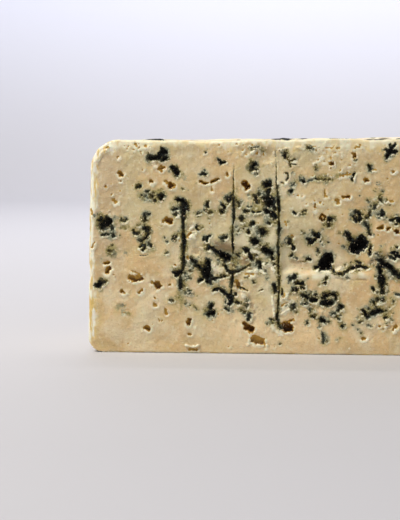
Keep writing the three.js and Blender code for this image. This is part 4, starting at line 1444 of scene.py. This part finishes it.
@dataclass(frozen=True)
class Grains:
    """Small grains scattered over the cheese, as thick as one of its attributes says.

    Attributes:
        name: The piece's name.
        attribute: The attribute that says how thick.
        density: Grains a square metre where it is 1.
        smallest: Radius of the smallest grain.
        largest: Radius of the largest.
        seed: Seed of the scatter.
        lump: Distance between the lumps on a grain.
    """

    name: str
    attribute: str
    density: float
    smallest: float
    largest: float
    seed: int
    lump: float = 1.1

    def tree(self) -> tuple[bpy.types.NodeTree, dict[str, str]]:
        """Builds the node tree that scatters the grains.

        Returns:
            The tree, and the identifier of each of its named inputs.
        """
        tree = bpy.data.node_groups.new(self.name, "GeometryNodeTree")
        kinds = {
            "Geometry": "Geometry",
            "Density": "Float",
            "Smallest": "Float",
            "Largest": "Float",
            "Seed": "Int",
            "Finish": "Material",
        }
        names = {}
        for name, kind in kinds.items():
            socket = tree.interface.new_socket(name, in_out="INPUT", socket_type="NodeSocket" + kind)
            names[name] = socket.identifier
        tree.interface.new_socket("Geometry", in_out="OUTPUT", socket_type="NodeSocketGeometry")
        sheet = Sheet(tree)
        given = sheet.node("NodeGroupInput").outputs
        thick = sheet.node(
            "GeometryNodeInputNamedAttribute", {"data_type": "FLOAT"}, {"Name": self.attribute}
        )
        density = sheet.value(thick.outputs["Attribute"]) * sheet.value(given["Density"])
        spots = sheet.node(
            "GeometryNodeDistributePointsOnFaces",
            sockets={"Mesh": given["Geometry"], "Density": density, "Seed": given["Seed"]},
        )
        grain = sheet.node("GeometryNodeMeshIcoSphere", sockets={"Radius": 1.0, "Subdivisions": 2})
        size = sheet.node(
            "FunctionNodeRandomValue",
            {"data_type": "FLOAT"},
            {2: given["Smallest"], 3: given["Largest"], "Seed": given["Seed"]},
        )
        turn = sheet.node(
            "FunctionNodeRandomValue",
            {"data_type": "FLOAT_VECTOR"},
            {0: (0.0, 0.0, 0.0), 1: (math.tau, math.tau, math.tau), "Seed": given["Seed"]},
        )
        stand = sheet.node("FunctionNodeEulerToRotation", sockets={"Euler": turn.outputs["Value"]})
        strewn = sheet.node(
            "GeometryNodeInstanceOnPoints",
            sockets={
                "Points": spots.outputs["Points"],
                "Instance": grain.outputs["Mesh"],
                "Rotation": stand.outputs["Rotation"],
                "Scale": size.outputs[1],
            },
        )
        lumps = sheet.node("ShaderNodeTexNoise", sockets={"Scale": 1 / (self.lump * MM), "Detail": 1.0})
        centred = sheet.node(
            "ShaderNodeVectorMath",
            {"operation": "SUBTRACT"},
            {0: lumps.outputs["Color"], 1: (0.5, 0.5, 0.5)},
        )
        shift = sheet.node(
            "ShaderNodeVectorMath",
            {"operation": "SCALE"},
            {0: centred.outputs[0], "Scale": given["Largest"]},
        )
        steps = {
            "GeometryNodeRealizeInstances": {},
            "GeometryNodeSetPosition": {"Offset": shift.outputs[0]},
            "GeometryNodeSetShadeSmooth": {},
            "GeometryNodeSetMaterial": {"Material": given["Finish"]},
        }
        shape = strewn.outputs["Instances"]
        for kind, more in steps.items():
            shape = sheet.node(kind, sockets={"Geometry": shape, **more}).outputs[0]
        sheet.node("NodeGroupOutput", sockets={0: shape})
        return tree, names

    def build(self, host: bpy.types.Object, finish: bpy.types.Material) -> bpy.types.Object:
        """Scatters the grains.

        Args:
            host: The piece that they lie on.
            finish: Their material.

        Returns:
            The grains as one plain mesh.
        """
        tree, names = self.tree()
        piece = place(host.data.copy())
        piece.name = self.name
        modifier = piece.modifiers.new(self.name, "NODES")
        modifier.node_group = tree
        given = {
            "Density": self.density,
            "Smallest": self.smallest * MM,
            "Largest": self.largest * MM,
            "Seed": self.seed,
            "Finish": finish,
        }
        for name, value in given.items():
            modifier[names[name]] = value
        bare = piece.data
        mesh = bpy.data.meshes.new_from_object(piece.evaluated_get(bpy.context.evaluated_depsgraph_get()))
        piece.modifiers.remove(modifier)
        piece.data = mesh
        mesh.name = self.name
        bpy.data.meshes.remove(bare)
        bpy.data.node_groups.remove(tree)
        return piece


class Value:
    """A number in a node tree that Python expressions can work on."""

    def __init__(self, sheet: "Sheet", socket: Socket) -> None:
        """Wraps an output socket."""
        self.sheet = sheet
        self.socket = socket

    def math(self, operation: str, first: Any, second: Any) -> "Value":
        """Adds a Math node.

        Args:
            operation: What it does.
            first: Its first value.
            second: Its second value.

        Returns:
            Its result.
        """
        node = self.sheet.node("ShaderNodeMath", {"operation": operation}, {0: first, 1: second})
        return Value(self.sheet, node.outputs[0])

    def __add__(self, other: Any) -> "Value":
        """Adds."""
        return self.math("ADD", self, other)

    def __sub__(self, other: Any) -> "Value":
        """Subtracts."""
        return self.math("SUBTRACT", self, other)

    def __rsub__(self, other: Any) -> "Value":
        """Subtracts from a number."""
        return self.math("SUBTRACT", other, self)

    def __mul__(self, other: Any) -> "Value":
        """Multiplies."""
        return self.math("MULTIPLY", self, other)

    __radd__, __rmul__ = __add__, __mul__

    def step(self, low: float, high: float) -> "Value":
        """Rises smoothly from 0 at low to 1 at high.

        Args:
            low: Where the rise starts.
            high: Where it ends.

        Returns:
            The mapped value.
        """
        node = self.sheet.node(
            "ShaderNodeMapRange",
            {"interpolation_type": "SMOOTHSTEP"},
            {"Value": self, "From Min": low, "From Max": high},
        )
        return Value(self.sheet, node.outputs["Result"])


class Sheet:
    """A node tree that is filled from Python."""

    def __init__(self, tree: bpy.types.NodeTree) -> None:
        """Starts on an empty tree."""
        self.tree = tree

    def node(
        self, kind: str, settings: dict[str, Any] | None = None, sockets: dict[str | int, Any] | None = None
    ) -> bpy.types.Node:
        """Adds a node.

        Args:
            kind: Its type.
            settings: Its own settings, set first.
            sockets: Values or links for its inputs.

        Returns:
            The node.
        """
        node = self.tree.nodes.new(kind)
        for name, value in (settings or {}).items():
            setattr(node, name, value)
        for name, value in (sockets or {}).items():
            given = value.socket if isinstance(value, Value) else value
            if isinstance(given, Socket):
                self.tree.links.new(given, node.inputs[name])
            else:
                node.inputs[name].default_value = given
        return node

    def value(self, socket: Socket) -> Value:
        """Wraps a socket for expressions."""
        return Value(self, socket)

    def attribute(self, name: str) -> Value:
        """Reads a number that is painted on the mesh."""
        return self.value(self.node("ShaderNodeAttribute", {"attribute_name": name}).outputs["Fac"])

    def axes(self) -> tuple[Value, Value, Value]:
        """Reads the piece's own coordinates.

        Returns:
            The places along x, y and z, in metres.
        """
        place_at = self.node("ShaderNodeTexCoord").outputs["Object"]
        found = self.node("ShaderNodeSeparateXYZ", sockets={0: place_at}).outputs
        return self.value(found["X"]), self.value(found["Y"]), self.value(found["Z"])

    def noise(
        self,
        size: float,
        detail: float = 2.0,
        stretch: tuple[float, float, float] = (1, 1, 1),
        shift: float = 0,
    ) -> Value:
        """Adds noise on the piece's own coordinates.

        Args:
            size: Distance between its swells.
            detail: How many finer octaves it has.
            stretch: How many times as far apart the swells lie along each axis.
            shift: How far along the noise is read, so that two of one size differ.

        Returns:
            The noise, about 0.5.
        """
        place_at = self.node("ShaderNodeTexCoord").outputs["Object"]
        scale = tuple(1 / (size * MM * s) for s in stretch)
        mapped = self.node(
            "ShaderNodeMapping", sockets={"Vector": place_at, "Scale": scale, "Location": (shift,) * 3}
        )
        noise = self.node(
            "ShaderNodeTexNoise",
            sockets={"Vector": mapped.outputs["Vector"], "Scale": 1.0, "Detail": detail},
        )
        return self.value(noise.outputs["Fac"])

    def mix(self, share: Any, first: Any, second: Any) -> Socket:
        """Mixes two colours.

        Args:
            share: How much of the second there is.
            first: The first colour.
            second: The second colour.

        Returns:
            The mixed colour.
        """
        node = self.node("ShaderNodeMix", {"data_type": "RGBA"}, {0: share, 6: first, 7: second})
        return node.outputs[2]

    def coats(self, tone: Any, *coats: tuple[Value, Any]) -> Socket:
        """Lays colours over one another.

        Args:
            tone: The lowest colour.
            coats: How much there is of each of the others, and its colour.

        Returns:
            The colour that shows.
        """
        for share, tint in coats:
            tone = self.mix(share, tone, tint)
        return tone

    def surface(self, sockets: dict[str | int, Any], settings: dict[str, Any] | None = None) -> None:
        """Adds the shader and the material's output.

        Args:
            sockets: Values or links for the shader's inputs.
            settings: The shader's own settings.
        """
        shader = self.node("ShaderNodeBsdfPrincipled", settings, sockets)
        self.node("ShaderNodeOutputMaterial", sockets={"Surface": shader.outputs[0]})


def new_material(name: str) -> tuple[bpy.types.Material, Sheet]:
    """Starts an empty material.

    Args:
        name: Its name.

    Returns:
        The material and the sheet of its nodes.
    """
    material = bpy.data.materials.new(name)
    material.use_nodes = True
    material.node_tree.nodes.clear()
    return material, Sheet(material.node_tree)


@dataclass(frozen=True)
class CheeseFinish:
    """Paste, mould and rind as one surface.

    Attributes:
        paste: The paste's usual colour.
        paste_warm: Where it is pinker.
        paste_yellow: Where it is yellower.
        paste_golden: The upper right.
        paste_peach: The middle of the base.
        paste_tan: Beside the round ends.
        cream: Torn lips and flakes, and painted highlights on lips, proud lumps and the ledge.
        ochre: Shallow hollows.
        brown: Deep ones.
        shade: The paste's darker grains, and painted shade along the face's foot and in the rind's pits.
        hollow_shade: Painted shade in its hollows, between torn lumps and in the rind's pits.
        halo: Paste tinged by mould.
        olive: The same where it is greener.
        smoke: Where it is thick with fine mould.
        moss: The same where it is browner.
        teal: The mould's edge.
        black: Its heart, and painted shadow in the deepest eyes.
        powder: Its powdery flecks.
        highlight_white: Painted highlight along the rim at the round ends.
        ivory: The rind.
        straw: The rind's yellow patches.
        bloom: The rind's grey-blue mould.
    """

    paste: Colour = colour(219, 202, 156)
    paste_warm: Colour = colour(228, 195, 142)
    paste_yellow: Colour = colour(221, 199, 139)
    paste_golden: Colour = colour(218, 189, 136)
    paste_peach: Colour = colour(244, 214, 164)
    paste_tan: Colour = colour(207, 180, 140)
    cream: Colour = colour(244, 238, 206)
    ochre: Colour = colour(188, 146, 60)
    brown: Colour = colour(98, 60, 10)
    shade: Colour = colour(192, 164, 116)
    hollow_shade: Colour = colour(164, 134, 98)
    halo: Colour = colour(150, 154, 126)
    olive: Colour = colour(158, 147, 86)
    smoke: Colour = colour(80, 82, 62)
    moss: Colour = colour(92, 80, 36)
    teal: Colour = colour(48, 48, 36)
    black: Colour = colour(27, 24, 19)
    powder: Colour = colour(150, 168, 160)
    highlight_white: Colour = colour(255, 250, 226)
    ivory: Colour = colour(236, 224, 188)
    straw: Colour = colour(228, 194, 114)
    bloom: Colour = colour(164, 168, 148)

    def rind(self, sheet: Sheet) -> Socket:
        """Colours the rind.

        Args:
            sheet: The material's nodes.

        Returns:
            Its colour.
        """
        return sheet.coats(
            self.ivory,
            (sheet.noise(21, 4, shift=6).step(0.36, 0.66) * 0.5, self.straw),
            (sheet.noise(5, 4).step(0.48, 0.78) * 0.55, self.straw),
            (sheet.noise(3, 4, shift=12).step(0.5, 0.8) * 0.6, self.cream),
            (sheet.noise(24, 5, shift=5).step(0.5, 0.76) * 0.6, self.bloom),
            # Painted shade in the rind's pits and creases.
            (sheet.attribute("hollow_shade").step(0.1, 0.9) * 0.6, self.shade),
            (sheet.noise(3.2, 3, shift=9).step(0.66, 0.74) * 0.7, self.smoke),
        )

    def bare(self, sheet: Sheet, side: Value, height: Value, grain: Value) -> Socket:
        """Colours the paste where nothing marks it.

        Args:
            sheet: The material's nodes.
            side: How far right of the middle a place lies.
            height: Its height.
            grain: The paste's grain.

        Returns:
            Its colour.
        """
        middle = side.step(-0.07, -0.04) * (1 - side.step(-0.015, 0.015)) * (1 - height.step(0.05, 0.075))
        warm = sheet.noise(24, 2) + height * -4.5 + side.step(0.0, 0.06) * 0.3 + middle * -0.25
        base = side.step(-0.05, -0.03) * (1 - side.step(0.0, 0.025)) * (1 - height.step(0.012, 0.026))
        ends = (side * side).step(0.0062, 0.0074) * height.step(0.025, 0.05)
        foot = height + (grain - 0.5) * 0.006
        return sheet.coats(
            self.paste,
            (warm.step(0.0, 0.4), self.paste_warm),
            (sheet.noise(7, 3, shift=2).step(0.45, 0.72) * 0.7, self.paste_yellow),
            (sheet.noise(11, 3, shift=3.3).step(0.46, 0.7) * 0.5, self.shade),
            (sheet.noise(14, 3, shift=8).step(0.46, 0.66) * 0.4 + middle * 0.05, self.cream),
            (side.step(-0.005, 0.03) * height.step(0.055, 0.085) * 0.75, self.paste_golden),
            (base * 0.7, self.paste_peach),
            (ends * 0.7, self.paste_tan),
            (sheet.noise(1.9, 4, shift=5).step(0.5, 0.74) * 0.42, self.cream),
            (sheet.noise(0.8, 3, shift=14).step(0.54, 0.7) * 0.36, self.shade),
            # Painted shade along the face's foot.
            ((1 - foot.step(0.0, 0.012)) * 0.2, self.shade),
            (sheet.noise(2.2, 3, stretch=(1, 1, 7)).step(0.55, 0.8) * 0.2, self.cream),
        )

    def edged(self, sheet: Sheet, tone: Socket, side: Value, height: Value) -> Socket:
        """Lays the rind, and its smear along the face's edge, over the paste.

        Args:
            sheet: The material's nodes.
            tone: The paste's colour.
            side: How far right of the middle a place lies.
            height: Its height.

        Returns:
            The colour of both.
        """
        rind = sheet.attribute("rind")
        uneven = (sheet.noise(2.2, 3, stretch=(1, 1, 2), shift=1) - 0.5) * 0.9
        smeared = rind + uneven * rind.step(0.0, 0.15)
        golden = sheet.noise(3.2, 3, stretch=(1, 1, 2), shift=2).step(0.47, 0.61)
        golden = golden * (1 - 0.5 * height.step(0.089, 0.0935))
        streak = sheet.noise(1.4, 3, stretch=(1, 1, 6), shift=2).step(0.48, 0.6)
        # Along the rim at the round ends: a white painted highlight, broken by straw streaks in the rind's
        # own colour.
        rim_highlight_and_straw = smeared.step(0.3, 0.55) * (1 - (rind - 1).step(0.1, 0.9)) * (side * side).step(0.0066, 0.0081)
        return sheet.coats(
            tone,
            (smeared.step(0.08, 0.6) * 0.95, self.cream),
            (smeared.step(0.12, 0.4) * golden * 0.85, self.straw),
            (rind.step(0.75, 0.95), self.rind(sheet)),
            (rim_highlight_and_straw * (1 - streak), self.highlight_white),
            (rim_highlight_and_straw * streak * 0.8, self.straw),
        )

    def build(self) -> bpy.types.Material:
        """Builds the material.

        Returns:
            The material.
        """
        material, sheet = new_material("cheese_paste_and_rind")
        fine = sheet.noise(0.55, 2)
        grain = sheet.noise(1.5, 3, shift=3)
        side, _, height = sheet.axes()
        ragged = (fine - 0.5) * 0.6
        tinge = sheet.attribute("tinge")
        greener = sheet.noise(5, 2, shift=4).step(0.38, 0.58)
        veil = sheet.mix(greener, self.halo, self.olive)
        thick = sheet.mix(greener, self.smoke, self.moss)
        smoke = tinge + (sheet.noise(1.3, 3, shift=6) - 0.5) * 1.7
        stain = sheet.attribute("stain")
        stain = stain + (ragged + smoke * 0.3 - 0.2) * stain.step(0.0, 0.2)
        tone = sheet.coats(
            self.bare(sheet, side, height, grain),
            ((tinge + ragged * 0.4).step(0.05, 0.8) * 0.7, veil),
            (smoke.step(0.5, 1.05) * 0.62, thick),
            # Painted shade in the hollows and between torn lumps.
            ((sheet.attribute("hollow_shade") + ragged * 0.6).step(0.1, 0.9) * 0.75, self.hollow_shade),
            # Pale paint: flakes and torn lips in their own paler colour, with painted highlights on lips,
            # proud lumps and the ledge.
            ((sheet.attribute("pale_and_highlight") + ragged * 0.5).step(0.15, 0.9), self.cream),
            (stain.step(0.1, 0.6) * 0.8, veil),
            (stain.step(0.45, 0.9) * 0.7, thick),
        )
        brown = sheet.attribute("brown") + ragged * 0.35
        shreds = (sheet.noise(0.95, 2, shift=2) - 0.5) * 0.9
        mould = sheet.attribute("mould")
        mould = mould + (ragged + shreds) * mould.step(0.0, 0.15)
        heart = mould.step(0.58, 0.88)
        powder = sheet.noise(1.2, 3, shift=7).step(0.58, 0.7) * heart * (1 - sheet.attribute("hollow"))
        tone = sheet.coats(
            self.edged(sheet, tone, side, height),
            (brown.step(0.36, 0.6), self.ochre),
            (brown.step(0.78, 1.18), self.brown),
            # Black where the brown paint runs highest: painted shadow in the deepest eyes.
            (brown.step(1.2, 1.55) * 0.85, self.black),
            (sheet.noise(0.8, 2, shift=11).step(0.62, 0.72) * tinge.step(0.25, 0.7) * 0.6, thick),
            (sheet.noise(1.2, 3, shift=13).step(0.57, 0.66) * tinge.step(0.2, 0.6) * 0.6, self.cream),
            (mould.step(0.0, 0.34) * 0.8, veil),
            (mould.step(0.18, 0.46), thick),
            (mould.step(0.38, 0.66), self.teal),
            (heart, self.black),
            (powder * 0.4, self.powder),
        )
        bump = sheet.node(
            "ShaderNodeBump",
            sockets={"Strength": 0.8, "Distance": 0.5 * MM, "Height": grain * 0.6 + fine * 0.4},
        )
        sheet.surface(
            {
                "Base Color": tone,
                "Roughness": 0.5 + heart * 0.4,
                "Specular IOR Level": 0.35,
                "Subsurface Weight": 0.2,
                "Subsurface Radius": (1.0, 0.6, 0.3),
                "Subsurface Scale": 1.6 * MM,
                "Normal": bump.outputs["Normal"],
            },
            {"subsurface_method": "RANDOM_WALK"},
        )
        return material


@dataclass(frozen=True)
class GrainFinish:
    """Grains of one kind, each a little lighter or darker.

    Attributes:
        name: The material's name.
        light: The lightest tone.
        dark: The darkest.
        patch: Distance over which the tone changes.
        roughness: How matt they are.
    """

    name: str
    light: Colour
    dark: Colour
    patch: float
    roughness: float

    def build(self) -> bpy.types.Material:
        """Builds the material.

        Returns:
            The material.
        """
        material, sheet = new_material(self.name)
        tone = sheet.mix(sheet.noise(self.patch, 3).step(0.4, 0.68), self.dark, self.light)
        bump = sheet.node(
            "ShaderNodeBump",
            sockets={"Strength": 0.4, "Distance": 0.1 * MM, "Height": sheet.noise(0.25, 2)},
        )
        sheet.surface({"Base Color": tone, "Roughness": self.roughness, "Normal": bump.outputs["Normal"]})
        return material


@dataclass(frozen=True)
class Lamp:
    """A soft area light.

    Attributes:
        name: Its name.
        place: Where it is, in metres.
        target: Where it looks.
        size: Its width.
        power: Its power in watts.
        tint: Its colour.
    """

    name: str
    place: tuple[float, float, float]
    target: tuple[float, float, float]
    size: float
    power: float
    tint: tuple[float, float, float]

    def build(self) -> bpy.types.Object:
        """Hangs the light.

        Returns:
            The light.
        """
        data = bpy.data.lights.new(self.name, "AREA")
        data.size = self.size
        data.energy = self.power
        data.color = self.tint
        lamp = place(data)
        lamp.location = self.place
        lamp.rotation_euler = (Vector(self.target) - lamp.location).to_track_quat("-Z", "Y").to_euler()
        return lamp


@dataclass(frozen=True)
class Studio:
    """The pale floor that curves up behind, the soft lights and the camera.

    Attributes:
        eye: The camera's place in millimetres, from the foot of the cut face's middle.
        yaw: How far it looks to the left, in degrees.
        tilt: How far it looks down, in degrees.
        sensor: Height of the picture on the sensor.
        focal: Focal length.
        ground: The floor's colour.
        backdrop: Its colour where it rises behind.
        floor_size: Half the floor's width, in metres.
        backdrop_at: How far behind it rises, in metres.
        bend: Round between floor and backdrop, in metres.
        bend_steps: Points along that round.
        sky: Strength of the light from all round.
        sky_tint: Its colour.
        lamps: The lights.
    """

    eye: tuple[float, float, float] = (13.9, -703.8, 96.5)
    yaw: float = 5.0
    tilt: float = 4.416
    sensor: float = 36.0
    focal: float = 109.91
    ground: Colour = colour(196, 194, 196)
    backdrop: Colour = colour(236, 238, 252)
    floor_size: float = 3.0
    backdrop_at: float = 1.6
    bend: float = 0.5
    bend_steps: int = 17
    sky: float = 0.24
    sky_tint: Colour = (0.93, 0.95, 1.0, 1.0)
    lamps: tuple[Lamp, ...] = (
        Lamp("key", (-0.6, -0.38, 1.1), (0.0, -0.05, 0.05), 0.4, 15.5, (1.0, 0.97, 0.92)),
        Lamp("fill", (0.5, -1.3, 0.6), (0.0, -0.05, 0.05), 1.2, 2.2, (0.97, 0.98, 1.0)),
        Lamp("backdrop_light", (0.0, 0.7, 1.5), (0.0, 2.1, 0.6), 1.2, 30.0, (0.97, 0.97, 1.0)),
    )

    def floor(self) -> bpy.types.Object:
        """Makes the floor and the backdrop as one sheet with a round between them.

        Returns:
            The sheet.
        """
        turns = np.linspace(-np.pi / 2, 0, self.bend_steps)
        line = [(-self.floor_size, 0.0)]
        line += [(self.backdrop_at + self.bend * np.cos(t), self.bend * (1 + np.sin(t))) for t in turns]
        line.append((self.backdrop_at + self.bend, self.floor_size))
        points = [(x, y, z) for x in (-self.floor_size, self.floor_size) for y, z in line]
        count = len(line)
        faces = [(i, i + count, i + count + 1, i + 1) for i in range(count - 1)]
        mesh = bpy.data.meshes.new("studio_floor")
        mesh.from_pydata(points, [], faces)
        mesh.shade_smooth()
        material, sheet = new_material("studio_floor")
        _, _, height = sheet.axes()
        tone = sheet.mix(height.step(0.0, self.bend), self.ground, self.backdrop)
        sheet.surface({"Base Color": tone, "Roughness": 0.7})
        mesh.materials.append(material)
        return place(mesh)

    def camera(self, face_y: float) -> bpy.types.Object:
        """Sets up the camera.

        Args:
            face_y: Where the cut face stands, in metres.

        Returns:
            The camera.
        """
        data = bpy.data.cameras.new("camera")
        data.sensor_fit = "VERTICAL"
        data.sensor_height = self.sensor
        data.lens = self.focal
        camera = place(data)
        camera.location = Vector(self.eye) * MM + Vector((0, face_y, 0))
        yaw, tilt = math.radians(self.yaw), math.radians(self.tilt)
        look = (-math.sin(yaw) * math.cos(tilt), math.cos(yaw) * math.cos(tilt), -math.sin(tilt))
        camera.rotation_euler = Vector(look).to_track_quat("-Z", "Y").to_euler()
        bpy.context.scene.camera = camera
        return camera

    def build(self, face_y: float) -> bpy.types.Object:
        """Sets the whole studio up.

        Args:
            face_y: Where the cut face stands, in metres.

        Returns:
            The floor.
        """
        scene = bpy.context.scene
        scene.view_settings.view_transform = "Standard"
        world = bpy.data.worlds.new("studio")
        world.use_nodes = True
        light = world.node_tree.nodes["Background"].inputs
        light["Color"].default_value = self.sky_tint
        light["Strength"].default_value = self.sky
        scene.world = world
        for lamp in self.lamps:
            lamp.build()
        self.camera(face_y)
        return self.floor()


def main() -> None:
    """Builds the cheese, its grains and the studio, and puts them on the frame."""
    logging.basicConfig(level=logging.INFO, format="%(name)s: %(message)s")
    low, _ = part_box(NODE)
    form = WheelForm()
    studio = Studio()
    studio.build(low.y)
    cheese = HalfWheel(form, CutFace(form), Rind(form)).build(CheeseFinish().build(), low)
    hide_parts(NODE)
    powder = GrainFinish("mould_powder", colour(116, 124, 106), colour(36, 37, 30), 1.4, 0.95)
    crumb = GrainFinish("curd_crumbs", colour(250, 236, 204), colour(226, 202, 158), 2.0, 0.5)
    grains = (
        (Grains("mould_tufts", "tufts", 1.0e5, 0.12, 0.36, 5), powder),
        (Grains("curd_crumbs", "crumbs", 4.0e5, 0.12, 0.32, 8), crumb),
    )
    pieces = [cheese] + [kind.build(cheese, finish.build()) for kind, finish in grains]
    for piece in pieces:
        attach(piece, BODY)
        LOG.info("%s has %d faces", piece.name, len(piece.data.polygons))


if __name__ == "__main__":
    main()
